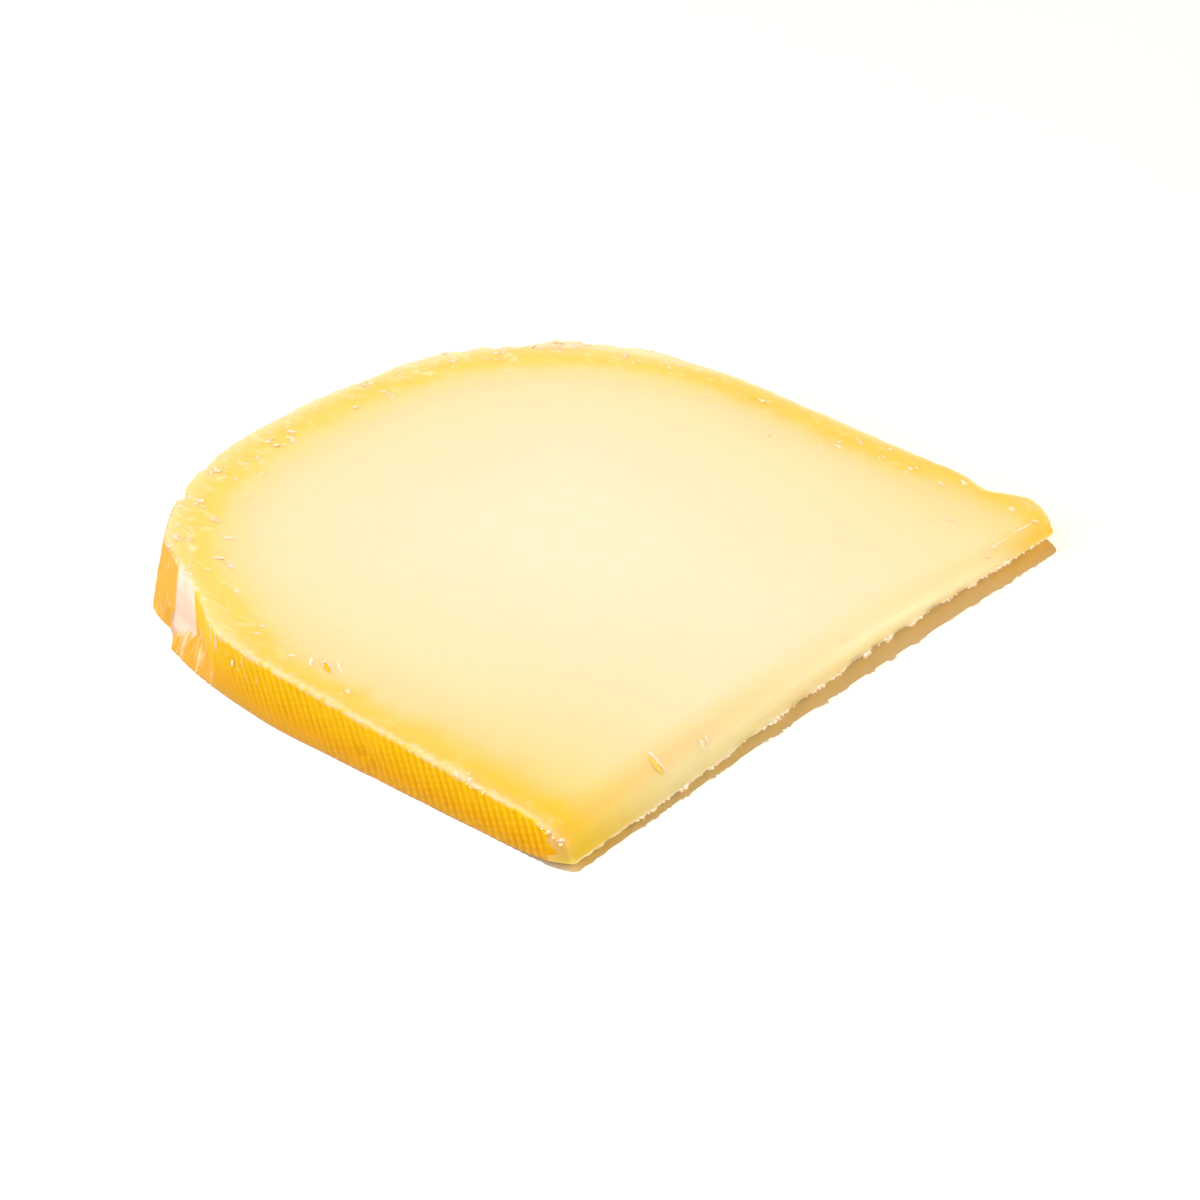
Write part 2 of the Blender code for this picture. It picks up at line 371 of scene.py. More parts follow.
# near flat and its share of the rim: plain rim mixed with the shaved facet, plus foot and ledge
def nearSide(y, height):
    form = outlineForm
    ledgeEnd = straightStep(*form["ledgeFall"], y)
    facet = mix(straightStep(*form["ledgeShares"], height), 1.0, ledgeEnd)
    plain = rimX(y)
    flatFoot = form["flatFoot"] * (1 - smoothStep(*form["flatFootFade"], y))
    rimFoot = form["rimFoot"] * smoothStep(*form["rimFootRise"], y)
    ledge = form["ledgeBulge"] * smoothStep(*form["ledgeRise"], y) * (1 - ledgeEnd) * (1 - facet)
    foot = (flatFoot + rimFoot) * (1 - height) + ledge
    nx, ny = rimNormal(plain, y)
    x = mix(plain, shavedX(y), facet) + wornCorner(y, facetTop(0.0)[0], *form["nearCorner"])
    return x + nx * foot, y + ny * foot


# far flat and its share of the rim, with its bumps and the round corner
def farSide(y, height):
    form = outlineForm
    plain = wheel["height"] - rimX(y)
    nx, ny = rimNormal(plain, y)
    foot = form["flatFoot"] * (1 - smoothStep(*form["flatFootFade"], y)) * (1 - height)
    foot = foot - rimWear(plain, height) * smoothStep(*form["rimWearStarts"], y)
    x = plain + sum(amount * bell(y, middle, spread) for amount, middle, spread in form["bumps"])
    x = x - wornCorner(y, facetTop(wheel["height"])[0], *form["farCorner"])
    return x + nx * foot, y + ny * foot


# the rim between the two shoulders, worn on top and standing out at the foot beside the near one
def rimSide(x, height):
    foot = outlineForm["rimFoot"] * (1 - smoothStep(*outlineForm["rimFootFade"], x)) * (1 - height)
    y = rimY(x)
    nx, ny = rimNormal(x, y)
    foot = foot - rimWear(x, height)
    return x + nx * foot, y + ny * foot


sliceShape = {
    # columns along each stretch of the outline, 1280 in all
    "nearFlat": 306, "nearRim": (36, 48, 42), "rim": 226, "farRim": 84, "farFlat": 248, "inner": 290,
    "measured": 4000,           # steps of the fine run that lengths along the rim are read from
    "sideRows": 32,             # between the two rounded edges
    "edgeRows": 4,
    "topRadius": 0.35,          # of the rind's upper edge
    "bottomRadius": 0.25,
    "creaseRadius": 0.45,       # of the inner cut's crease
    "lipRadius": 0.08,
    "cornerBlend": 1.2,         # mm of outline over which one radius becomes the other
    "centre": (55.0, 48.0),
    # columns, rings, and the share of the way to the centre that each ring takes
    "topRings": ((1280, 10, 0.0045), (640, 14, 0.008), (320, 10, 0.015), (160, 8, 0.03),
                 (80, 4, 0.05), (40, 1, 0.04)),
    "undersideRings": ((1280, 2, 0.006), (640, 4, 0.01), (320, 6, 0.025), (160, 6, 0.05),
                       (80, 4, 0.08), (40, 1, 0.08)),
}

# the four stretches of the outline, clockwise from the near inner corner
nearPart, rimPart, farPart, cutPart = range(4)


# count values from low to high without the last one
def steps(low, high, count):
    return low + (high - low) * np.arange(count) / count


# even arc length along a plan curve: a fine run is measured and read back at equal lengths
def evenStations(curve, low, high, count):
    fine = np.linspace(low, high, sliceShape["measured"])
    x, y = curve(fine)
    length = np.concatenate([[0], np.cumsum(np.hypot(np.diff(x), np.diff(y)))])
    return np.interp(steps(0, length[-1], count), length, fine)


def shoulderCurve(y):
    return rimX(y), y


def crownCurve(x):
    return x, rimY(x)


# where the columns stand: y up the near side, x along the rim, y down the far side, share of the cut
def outlineStations():
    shape = sliceShape
    stops = [*outlineForm["facetY"][:3], cornerY]
    near = [steps(facetTop(0.0)[0], stops[0], shape["nearFlat"])]
    near += [evenStations(shoulderCurve, a, b, n) for a, b, n in zip(stops, stops[1:], shape["nearRim"])]
    rim = evenStations(crownCurve, cornerX, wheel["height"] - cornerX, shape["rim"])
    far = [evenStations(shoulderCurve, cornerY, wheel["flatEnd"], shape["farRim"]),
           steps(wheel["flatEnd"], facetTop(wheel["height"])[0], shape["farFlat"])]
    return np.concatenate(near), rim, np.concatenate(far), steps(1, 0, shape["inner"])


# plan of every column at its height shares; outward is 0 at the inner cut and 1 at the rim
def outline(height):
    near, rim, far, inner = outlineStations()
    a, b, c = np.cumsum([len(near), len(rim), len(far)])
    nearStart, farStart = facetTop(0.0)[0], facetTop(wheel["height"])[0]
    nx, ny = nearSide(near, height[:, :a])
    slant = clamp(1 - (near - nearStart) / outlineForm["slantEnd"])
    ny = ny - cuts["facetRun"] * slant * (1 - height[:, :a])
    rx, ry = rimSide(rim, height[:, a:b])
    fx, fy = farSide(far, height[:, b:c])
    slant = clamp(1 - (far - farStart) / outlineForm["slantEnd"])
    fy = fy - cuts["facetRun"] * cuts["facetFarScale"] * slant * (1 - height[:, b:c])
    ends = [nearSide(nearStart, height[:, c:])[0], farSide(farStart, height[:, c:])[0]]
    ix = mix(*ends, inner)
    iy = mix(lipY(ix), facetTop(ix)[0], height[:, c:])
    outward = np.concatenate([(near - nearStart) / (cornerY - nearStart), np.ones(len(rim)),
                              (far - farStart) / (cornerY - farStart), np.zeros(len(inner))])
    part = np.repeat([nearPart, rimPart, farPart, cutPart], [len(near), len(rim), len(far), len(inner)])
    return np.concatenate([nx, rx, fx, ix], 1), np.concatenate([ny, ry, fy, iy], 1), outward, part


# each column rises over a quarter round, a straight side and another quarter round
def sideGrid():
    shape = sliceShape
    count = sum(len(stations) for stations in outlineStations())
    x, y, outward, part = outline(np.full((1, count), 0.5))
    thick = (topHeight(x, y) - undersideHeight(x, y))[0]
    along = np.concatenate([[0], np.cumsum(np.hypot(np.diff(x[0]), np.diff(y[0])))])
    fromCut = np.minimum(along, along[part == cutPart][0] - along)
    rind = np.where(part == cutPart, 0, smoothStep(0, shape["cornerBlend"], fromCut))
    topR = mix(shape["creaseRadius"], shape["topRadius"], rind)
    lowR = mix(shape["lipRadius"], shape["bottomRadius"], rind)
    turn = (np.arange(shape["edgeRows"], 0, -1) / shape["edgeRows"] * math.pi / 2)[:, None]
    share = (np.arange(shape["sideRows"] + 1) / shape["sideRows"])[:, None]
    over = turn[::-1]
    above = np.vstack([lowR * (1 - np.sin(turn)), mix(lowR, thick - topR, share),
                       thick - topR * (1 - np.sin(over))])
    inset = np.vstack([lowR * (1 - np.cos(turn)), 0 * share * lowR, topR * (1 - np.cos(over))])
    height = above / thick
    x, y, outward, part = outline(height)
    ax, ay = np.roll(x, -1, 1) - np.roll(x, 1, 1), np.roll(y, -1, 1) - np.roll(y, 1, 1)
    size = np.hypot(ax, ay)
    x, y = x + inset * ay / size, y - inset * ax / size
    top = topHeight(x, y)
    z = mix(undersideHeight(x, y), top, height)
    # a point of the rind keeps its distance from the wheel's axis, below the top cut too
    radius = np.sqrt((y - wheel["axis"]) ** 2 + top ** 2 - z ** 2) + wheel["axis"]
    y = mix(y, radius, outward)
    return np.stack([x, y, z], -1), height, along, part, rind


# outward direction of a closed grid: up the column crossed with on along the outline
def gridNormals(points):
    along = np.roll(points, -1, 1) - np.roll(points, 1, 1)
    normal = np.cross(np.gradient(points, axis=0), along)
    return normal / np.maximum(np.linalg.norm(normal, axis=-1, keepdims=True), 1e-9)


clothPrint = {
    "pitch": 1.28,              # between two ribs left by the pressing cloth
    "lean": 0.42,               # mm along for each mm up
    "knot": 0.9,                # between two knots of one rib
    "knotShare": 0.20,          # of a rib's height that goes up and down with its knots
    "depth": 0.16,
    "rimShare": 0.45,           # the rim took the cloth less deeply than the flats
    "starts": (4.2, 6.0),       # y over which the print begins on the near flat
    # how evenly it took: the share that is everywhere, and noise over it
    "evenness": 0.85,
    "patchy": ((0.3, 8.0, 8.0, 1), (0.35, 0.8, 1.5, 11)),
    # rubbed off the foot of the near side: share, y from and to with its edge, height shares
    "rubbed": (0.6, (47, 66, 5), (0.45, 0.2)),
}


# cosine ribs that lean as they rise, each with knots set half a knot off its neighbour's
def clothRibs(along, z):
    across = (along - clothPrint["lean"] * z) / clothPrint["pitch"]
    knots = z / clothPrint["knot"] + 0.5 * np.floor(across + 0.5)
    rib = 0.5 + 0.5 * np.cos(2 * math.pi * across)
    share = clothPrint["knotShare"]
    return rib * (1 - share + share * np.cos(2 * math.pi * knots))


# a place on the near side and the near half of the rim is told by its y, a height by its share of the
# whole height there
rindZones = {
    "skinEdges": ((0.0, 0.5), (0.05, 0.5)),     # mm over which the skin comes in at the foot and the top
    "rimStarts": (52, 66),      # y over which the flats turn into the rim
    "shoulder": (60.5, 64.5),   # y over which the print fades out on the near shoulder
    "peel": (75.0, 81.2, 0.12),                 # where the rind is peeled off the facet, and its edge
    # height where the peeled patch ends, its fall for each mm past a place, up to so many mm, and teeth
    "peelFoot": 0.29,
    "peelFall": (0.026, 74, 8),
    "peelTeeth": ((0.03, 1.4, endless, 4), (0.06, 0.35, endless, 5)),
    "peelFootEdge": 0.02,
    # stretches with torn strands: from, to, lowest and highest height share, strength
    "strands": ((56.0, 65.0, 0.62, 0.97, 0.5), (65.5, 69.5, 0.02, 0.93, 1.0),
                (69.5, 73.0, 0.02, 0.50, 1.0), (73.0, 81.5, 0.06, 0.27, 1.0)),
    "strandEdges": (0.5, 0.08),                 # of those stretches, along and up
    "strandGrain": ((1.0, 0.34, 1.9, 6), (0.5, 0.22, 0.9, 7)),
    "strandRise": (0.35, 0.75),
    # mm back along y for each mm that the foot stands out, up to so many mm
    "strandLean": 0.76,
    "strandLeanEnd": 5,
    "amberStarts": (81.2, 81.4),                # smooth amber skin from here round the shoulder of the rim
    "amberEnds": (26.0, 14.0),  # x over which the cloth print comes back
    "paintedRecessShade": ((79.4, 81.6, 0.3), (0.30, 0.22)),  # painted shade in the recess at the foot of the peeled patch: places, height shares
    "foot": ((68, 82.3, 2.0), (0.36, 0.26)),    # and the darker foot of the whole shoulder
    "burrFlat": 0.40,           # mm down from the upper edge that the knife's burr covers
    "burrRim": 0.30,
    "burrCorner": (0.35, (6, 20)),              # its share at the inner cut, and y over which it grows
    "burrUneven": ((0.5, 1.6, endless, 8), (0.25, 0.5, 0.5, 9)),
    "burrEdge": (0.25, -0.35),  # mm past its depth and short of it over which it fades
    "burrTop": 0.60,            # mm in from the edge that it covers on the upper face
    "burrTopRim": 0.45,         # share of that away from the near flat
    "burrTopFlat": (12, 62, 8),                 # y of the near flat where it is widest, with the edge
    "burrTopEdge": 0.7,         # mm to both sides over which it fades
    "burrTopUneven": ((0.5, 2.2, endless, 16), (0.6, 0.6, 0.6, 18)),
    "burrTopHeight": 0.03,
    # mm without rind at the inner cut: the near corner with what is less half way up (amount, height,
    # spread), the far corner, and how its border wanders
    "cornerWorn": (3.7, (1.5, 0.42, 0.16)),
    "farCornerWorn": 1.6,
    "cornerWander": ((0.35, 0.8, endless, 17),),
}

beyond = 200.0                  # place given to the far side and the inner cut, past every zone


# masks from 0 to 1 over the side: where each finish of the rind lies, told by the place along the
# outline and the share of the height, with borders moved by noise
def rindMasks(points, height, along, part, rind):
    zones, cloth = rindZones, clothPrint
    near, rim, far, inner = outlineStations()
    crown = np.where(rim < halfWidth, rimY(rim), beyond)
    place = np.concatenate([near, crown, np.full(len(far) + len(inner), beyond)])
    onNear = part == nearPart
    x, y, z = points[..., 0], points[..., 1], points[..., 2]
    fromTop = z[-1] - z
    hung = place + zones["strandLean"] * clamp(x[-1] - x, 0, zones["strandLeanEnd"])
    footEdge, topEdge = zones["skinEdges"]
    body = rind * smoothStep(*footEdge, z) * smoothStep(*topEdge, fromTop)
    onRim = smoothStep(*zones["rimStarts"], y)
    onShoulder = smoothStep(*zones["amberEnds"], x)
    strength = mix(1.0, cloth["rimShare"], onRim) * (1 - smoothStep(*zones["shoulder"], place) * onShoulder)
    strength = strength * clamp(cloth["evenness"] + layeredNoise(along, z, cloth["patchy"]))
    strength = strength * np.where(onNear, smoothStep(*cloth["starts"], place), 1)
    share, places, heights = cloth["rubbed"]
    strength = strength * (1 - share * band(*places, place) * smoothStep(*heights, height))
    slope, start, most = zones["peelFall"]
    foot = zones["peelFoot"] - slope * clamp(place - start, 0, most)
    foot = foot + layeredNoise(hung, 0, zones["peelTeeth"])
    placeEdge, heightEdge = zones["strandEdges"]
    torn = sum(amount * band(first, last, placeEdge, hung) * band(low, high, heightEdge, height)
               for first, last, low, high, amount in zones["strands"])
    strands = smoothStep(*zones["strandRise"], layeredNoise(hung, z, zones["strandGrain"]))
    cornerShare, cornerReach = zones["burrCorner"]
    burrDepth = mix(zones["burrFlat"], zones["burrRim"], onRim)
    burrDepth = burrDepth * mix(cornerShare, 1.0, smoothStep(*cornerReach, y))
    burrDepth = burrDepth * (1 + layeredNoise(along, z, zones["burrUneven"]))
    below, above = zones["burrEdge"]
    edge = zones["peelFootEdge"]
    masks = {
        "ribs": clothRibs(along, z) * body * strength,
        "printed": body * strength,
        "peel": band(*zones["peel"], place) * smoothStep(foot - edge, foot + edge, height) * onNear,
        "strands": clamp(torn) * strands * onNear,
        "amber": smoothStep(*zones["amberStarts"], place) * onShoulder,
        "burr": rind * smoothStep(burrDepth + below, burrDepth + above, fromTop),
    }
    for name in ("paintedRecessShade", "foot"):
        places, heights = zones[name]
        masks[name] = band(*places, place) * smoothStep(*heights, height) * onNear
    return masks


sideSkin = {
    # mm; each noise layer is amount, size along, size up and seed
    "rough": ((0.05, 2.4, 2.4, 2), (0.025, 0.7, 0.7, 3)),
    "smoothPeel": 0.6,          # share of the roughness that the peeled patch lacks
    "peelDepth": 0.10,
    "strandHeight": 0.12,
    "grooveShare": 0.5,         # of the print's depth that goes inwards
    "footEdge": (0.0, 0.4),     # mm over which the roughness comes in at the foot
    "burrHeight": 0.07,
    "burrEven": 0.3,
    "burrLumps": ((1.0, 0.8, 0.8, 10),),
    # nicks in the near flat: x, y, z, depth, spread
    "nicks": ((0.0, 36.8, 3.4, 0.45, 0.9), (0.0, 34.6, 2.0, 0.25, 1.0), (0.3, 61.7, 6.5, 0.3, 0.6),
              (0.3, 4.4, 5.2, 0.3, 0.8), (0.9, 2.6, 4.4, 0.35, 0.8)),
    "nickHeight": 0.6,          # they are longer up than along: weight of z in the distance
    "cutWaves": ((0.02, 5.0, 5.0, 15),),
    "fray": ((0.10, 1.1, endless, 13), (0.08, 0.45, endless, 14)),
    "frayReach": 0.8,           # up from the lip
    # scallops broken out of the lip: x, depth, half width
    "scallops": ((47.5, 0.35, 3.0), (60.0, 0.45, 2.2), (65.2, 0.35, 1.8), (70.4, 0.40, 2.2),
                 (78.5, 0.40, 3.2), (36.0, 0.25, 3.5), (84.5, 0.25, 2.2)),
}


# sum of depth * (1 - ((x - middle) / half width)^2), each where it is above 0
def scallopDepth(x):
    return sum(depth * clamp(1 - ((x - middle) / half) ** 2) for middle, depth, half in sideSkin["scallops"])


# out along the side's normals by the cloth ribs, the burr, the strands and a rough skin, in by the
# nicks; the inner cut has faint waves, and its lower edge is scalloped and finely frayed
def sideRelief(points, along, part, rind, masks):
    skin = sideSkin
    x, y, z = points[..., 0], points[..., 1], points[..., 2]
    out = clothPrint["depth"] * (masks["ribs"] - skin["grooveShare"] * masks["printed"])
    rough = layeredNoise(along, z, skin["rough"]) * (1 - skin["smoothPeel"] * masks["peel"])
    out = out + rind * smoothStep(*skin["footEdge"], z) * rough + skin["strandHeight"] * masks["strands"]
    lumpy = skin["burrEven"] + layeredNoise(along, z, skin["burrLumps"])
    out = out + masks["burr"] * skin["burrHeight"] * lumpy - skin["peelDepth"] * masks["peel"] * rind
    for cx, cy, cz, depth, spread in skin["nicks"]:
        near = ((x - cx) ** 2 + (y - cy) ** 2 + skin["nickHeight"] * (z - cz) ** 2) / spread ** 2
        out = out - depth * rind * np.exp(-near)
    low = smoothStep(skin["frayReach"], 0.0, z - z[0])
    torn = layeredNoise(along, 0, skin["fray"]) - scallopDepth(x)
    cutFace = (part == cutPart) * (layeredNoise(along, z, skin["cutWaves"]) * (1 - low) + torn * low)
    return points + gridNormals(points) * (out + cutFace)[..., None]


# rings that shrink towards the centre by the given shares, their heights read from the face
def capRings(edge, plan, faceHeight, ringStart, nextStart):
    centre = np.array(sliceShape["centre"])
    rings, faces, columnOf, shares, share = [], [], [], [], 0.0
    start, count, base = ringStart, len(edge), nextStart
    for columns, number, step in plan:
        for _ in range(number):
            share += step
            column = np.arange(0, len(edge), len(edge) // columns)
            ring = mix(edge[column, :2], centre, share)
            rings.append(np.column_stack([ring, faceHeight(ring[:, 0], ring[:, 1])]))
            faces += ringFaces(start, base, count, columns)
            columnOf.append(column)
            shares.append(np.full(columns, share))
            start, count, base = base, columns, base + columns
    here = np.arange(count)
    rings.append(np.array([[*centre, faceHeight(centre[0], centre[1])]]))
    faces.append(np.stack([start + here, np.full(count, base), start + (here + 1) % count], -1))
    columnOf.append([0])
    shares.append([1.0])
    return np.vstack(rings), faces, np.concatenate(columnOf), np.concatenate(shares)


# quads between rings of one count, or three triangles for each inner edge where the count halves
def ringFaces(outer, inner, count, innerCount):
    here = np.arange(innerCount)
    after = (here + 1) % innerCount
    if innerCount == count:
        return [np.stack([outer + here, inner + here, inner + after, outer + after], -1)]
    a, b, c = outer + 2 * here, outer + 2 * here + 1, outer + (2 * here + 2) % count
    return [np.stack([a, inner + here, b], -1), np.stack([b, inner + here, inner + after], -1),
            np.stack([b, inner + after, c], -1)]


knifeMarks = {
    # noise layers: amount, size along x, size along y and seed
    "waves": ((0.03, 7.0, 7.0, 21),),
    "wavesInside": (1.0, 5.0),  # mm from the rind over which they come in
    "fibres": ((0.035, 0.5, 2.2, 22), (0.021, 0.9, 1.1, 23)),
    "fibresInside": (0.4, 4.5, 2.5),            # mm from the rind, with the edge
    "calm": (2.5, 8.0),         # y over which they begin at the bevel
}


# the top cut with the faint waves of the knife, and fibres drawn along y near the rind
def knifeCut(x, y):
    marks = knifeMarks
    depth = rindDepth(x, y)
    waves = layeredNoise(x, y, marks["waves"]) * smoothStep(*marks["wavesInside"], depth)
    fibres = layeredNoise(x, y, marks["fibres"]) * band(*marks["fibresInside"], depth)
    return topHeight(x, y) + (waves + fibres) * smoothStep(*marks["calm"], y)


pasteZones = {
    "rim": (52, 74),            # y over which the flats' paste becomes the rim's
    # outermost band rubbed pale: mm from the rind, its share by x, and a weaker one on the far flat
    "chalkDepth": (2.8, 0.1),
    "chalkShares": (0.3, 1.0),
    "chalkGrows": (20, 60),
    "farChalk": (0.4, (100, 106), (22, 34)),    # share, x, y
    "lemonDepth": (14, 6),      # mm from the rind over which the rim's lemon cast comes in
    # the colour follows the depth from the rind, here less what makes a place warmer, in mm
    "mottle": ((0.9, 6.0, 6.0, 24), (0.5, 2.6, 2.6, 25)),
    "mottleDepth": (3, 9, 3),   # mm from the rind, with the edge
    "rimWarmth": (3.2, 12.5, 4),                # amount, depth, power of its fall
    "farWarmth": (1.8, (60, 100), (10, 30), (4, 9, 2)),     # amount, x, y, depth
    "goldSpot": (15.0, (20.3, 0.9), (4.2, 1.44)),           # amount, middle and spread in x and in y
    # richer gold towards the inner cut: y, and its share on the far flat by depth
    "corner": (45, 5),
    "farCornerShares": (0.3, 0.8),
    "farCornerDepth": (2.2, 0.5),
    "gilt": ((24, 4), (90, 103)),               # x over which the strips turn golden at the two corners
    # the tints of bevel and facet are painted light, offsetting the warm reflector on faces turned to it;
    # they weaken along x, and start at the near flat, where that light doesn't reach
    "stripShares": (1.0, 0.75),
    "stripWeakens": (28, 55),
    "stripStarts": (-3.0, 3.0),
    "bevelEdge": (1.8, -1.6),   # mm past its upper line
    "facetEdge": (2.4, -0.3),   # mm past the crease
    # painted light on the steep strip, paled where light falls differently on it further along: x where it
    # begins and ends, and mm past the crease; then the height at the lip of the torn edge's pale grain
    "paintedLightStarts": (46, 74),
    "paintedLightEnds": (103, 92),
    "paintedLightEdge": (1.0, -0.2),
    "tornHeight": (0.24, 0.06),
}


# where each tint of the paste lies, from 0 to 1, and the depth in mm that its colour follows
def pastePaint(x, y, tornEdge):
    zones = pasteZones
    depth = np.maximum(rindDepth(x, y), 0)
    rim = smoothStep(*zones["rim"], y)
    share, farX, farY = zones["farChalk"]
    farEdge = share * smoothStep(*farX, x) * smoothStep(*farY, y)
    chalk = rim * mix(*zones["chalkShares"], smoothStep(*zones["chalkGrows"], x))
    amount, reach, power = zones["rimWarmth"]
    mottle = layeredNoise(x, y, zones["mottle"]) * band(*zones["mottleDepth"], depth)
    warmer = depth - amount * rim * np.exp(-(depth / reach) ** power) + mottle
    amount, farX, farY, farDepth = zones["farWarmth"]
    farWarm = smoothStep(*farX, x) * (1 - rim) * smoothStep(*farY, y) * band(*farDepth, depth)
    goldAmount, goldX, goldY = zones["goldSpot"]
    warmer = warmer - amount * farWarm - goldAmount * bell(x, *goldX) * bell(y, *goldY)
    farShare = mix(*zones["farCornerShares"], smoothStep(*zones["farCornerDepth"], depth))
    nearCorner, farCorner = zones["gilt"]
    strip = mix(*zones["stripShares"], smoothStep(*zones["stripWeakens"], x))
    strip = strip * smoothStep(*zones["stripStarts"], x)
    pastCrease = y - facetTop(x)[0]
    paintedLight = smoothStep(*zones["paintedLightStarts"], x) * smoothStep(*zones["paintedLightEnds"], x)
    return {
        "rim": rim,
        "chalk": np.maximum(chalk, farEdge) * smoothStep(*zones["chalkDepth"], depth),
        "lemon": rim * smoothStep(*zones["lemonDepth"], depth),
        "depth": np.maximum(warmer, 0),
        "corner": smoothStep(*zones["corner"], y) * mix(1.0, farShare, x / wheel["height"]),
        "gilt": smoothStep(*nearCorner, x) + smoothStep(*farCorner, x),
        # painted light: a darker, cooler tint on the slanting strip and a paler, cooler one on the steep
        # strip, offsetting the warm reflector on faces turned to it
        "bevel": strip * smoothStep(*zones["bevelEdge"], y - bevelY(x)),
        "facet": strip * smoothStep(*zones["facetEdge"], pastCrease),
        # the torn edge of the lip shows dry grain; further along, the whole steep strip takes the same pale
        # tint as painted light
        "grain": np.maximum(paintedLight * smoothStep(*zones["paintedLightEdge"], pastCrease), tornEdge),
    }


# the burr stands a little over the upper face too: its mask there, and how uneven it is
def burrOnTop(edge, along, rind, share):
    zones = rindZones
    inward = share * halfWidth
    uneven = 1 + layeredNoise(along, inward, zones["burrTopUneven"])
    onFlat = band(*zones["burrTopFlat"], edge[:, 1]) * (edge[:, 0] < halfWidth)
    reach = zones["burrTop"] * mix(zones["burrTopRim"], 1.0, onFlat) * uneven
    return rind * smoothStep(reach + zones["burrTopEdge"], reach - zones["burrTopEdge"], inward), uneven


# rind or paste, face by face: the rind ends on the upper edge and ragged at the two inner corners
def rindFaces(points, height, along, part):
    zones = rindZones
    fromCut = np.minimum(along, along[part == cutPart][0] - along)
    wander = layeredNoise(points[..., 2], 0, zones["cornerWander"])
    most, (less, middle, spread) = zones["cornerWorn"]
    worn = np.where(part == nearPart, most - less * bell(height, middle, spread), zones["farCornerWorn"])
    isRind = (fromCut + wander > worn) & (part != cutPart)
    return (isRind & np.roll(isRind, -1, 1))[:-1]


# side, top and underside as one closed mesh: points, groups of faces, paint and material slots
def buildSlice():
    points, height, along, part, rind = sideGrid()
    rows, columns = height.shape
    masks = rindMasks(points, height, along, part, rind)
    points = sideRelief(points, along, part, rind, masks)
    top, topFaces, topColumn, topShare = capRings(
        points[-1], sliceShape["topRings"], knifeCut, (rows - 1) * columns, rows * columns)
    low, lowFaces = capRings(
        points[0], sliceShape["undersideRings"], undersideHeight, 0, rows * columns + len(top))[:2]
    topBurr, uneven = burrOnTop(points[-1, topColumn], along[topColumn], rind[topColumn], topShare)
    top[:, 2] += rindZones["burrTopHeight"] * topBurr * uneven
    everything = np.vstack([points.reshape(-1, 3), top, low])
    everything[:, 2] = np.maximum(everything[:, 2], 0)
    here = np.arange(columns)
    after = (here + 1) % columns
    below = (np.arange(rows - 1) * columns)[:, None]
    side = np.stack([below + after, below + here, below + columns + here, below + columns + after], -1)
    # the rings' faces look up as they are; underneath their order is turned round
    groups = [side.reshape(-1, 4), *topFaces, *[group[:, ::-1] for group in lowFaces]]
    rest = np.zeros(len(top) + len(low))
    paint = {name: np.concatenate([(mask + 0 * height).ravel(), rest]) for name, mask in masks.items()}
    paint["burr"][height.size:height.size + len(top)] = topBurr
    paint["height"] = np.concatenate([height.ravel(), np.ones(len(top)), np.zeros(len(low))])
    torn = (part == cutPart) * smoothStep(*pasteZones["tornHeight"], height)
    paint.update(pastePaint(everything[:, 0], everything[:, 1], np.concatenate([torn.ravel(), rest])))
    skin = rindFaces(points, height, along, part)
    slots = np.zeros(sum(len(group) for group in groups), np.int32)
    slots[:skin.size] = skin.ravel()
    return everything, groups, paint, slots


# a piece of the cheese, from points in mm on the slice and groups of faces
def addPiece(name, points, groups, materials):
    piece = addMesh(name, (points - boxMiddle) * metresPerMm, groups)
    for material in materials:
        piece.data.materials.append(material)
    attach(piece, "root")
    return piece


mixed = {"data_type": "RGBA"}   # a Mix node's factor is input 0, its colours 6 and 7, its result output 2
multiply = {"operation": "MULTIPLY"}


# one node of a material: its settings, the output that is read, the stops of a colour ramp, and its
# inputs by index as i0, i1 and so on, each a value, a hex colour or the output of another node
def addNode(tree, kind, settings=None, output=0, stops=(), **inputs):
    node = tree.nodes.new("ShaderNode" + kind)
    for name, value in (settings or {}).items():
        setattr(node, name, value)
    if stops:
        elements = node.color_ramp.elements
        elements.remove(elements[1])
    for index, (place, colour) in enumerate(stops):
        element = elements[0] if index == 0 else elements.new(place)
        element.position = place
        element.color = (*hexColour(colour), 1)
    for name, value in inputs.items():
        socket = node.inputs[int(name[1:])]
        if isinstance(value, bpy.types.NodeSocket):
            tree.links.new(value, socket)
        elif isinstance(value, str):
            socket.default_value = (*hexColour(value), 1)
        else:
            socket.default_value = value
    return node.outputs[output]


# noise in Object coordinates, stretched by the lengths in mm, read between two values as 0 to 1
def patches(tree, lengths, low, high, detail=2.0):
    place = addNode(tree, "TexCoord", output=3)
    scale = tuple(1 / (length * metresPerMm) for length in lengths)
    moved = addNode(tree, "Mapping", i0=place, i3=scale)
    noise = addNode(tree, "TexNoise", i0=moved, i2=1.0, i3=detail)
    return addNode(tree, "MapRange", {"interpolation_type": "SMOOTHSTEP"}, i0=noise, i1=low, i2=high)


cheeseBody = {
    "radius": (1.0, 0.70, 0.36),    # how far red, green and blue light travel inside, against the scale
    "ior": 1.45,
}


def startMaterial(name, look):
    material = bpy.data.materials.new(name)
    material.use_nodes = True
    shader = material.node_tree.nodes["Principled BSDF"]
    settings = {
        "Roughness": look["roughness"],
        "IOR": cheeseBody["ior"],
        "Specular IOR Level": look["specular"],
        "Subsurface Weight": look["subsurface"],
        "Subsurface Radius": cheeseBody["radius"],
        "Subsurface Scale": look["lightReach"] * metresPerMm,
    }
    for socket, value in settings.items():
        shader.inputs[socket].default_value = value
    return material, material.node_tree, shader.inputs["Base Color"]


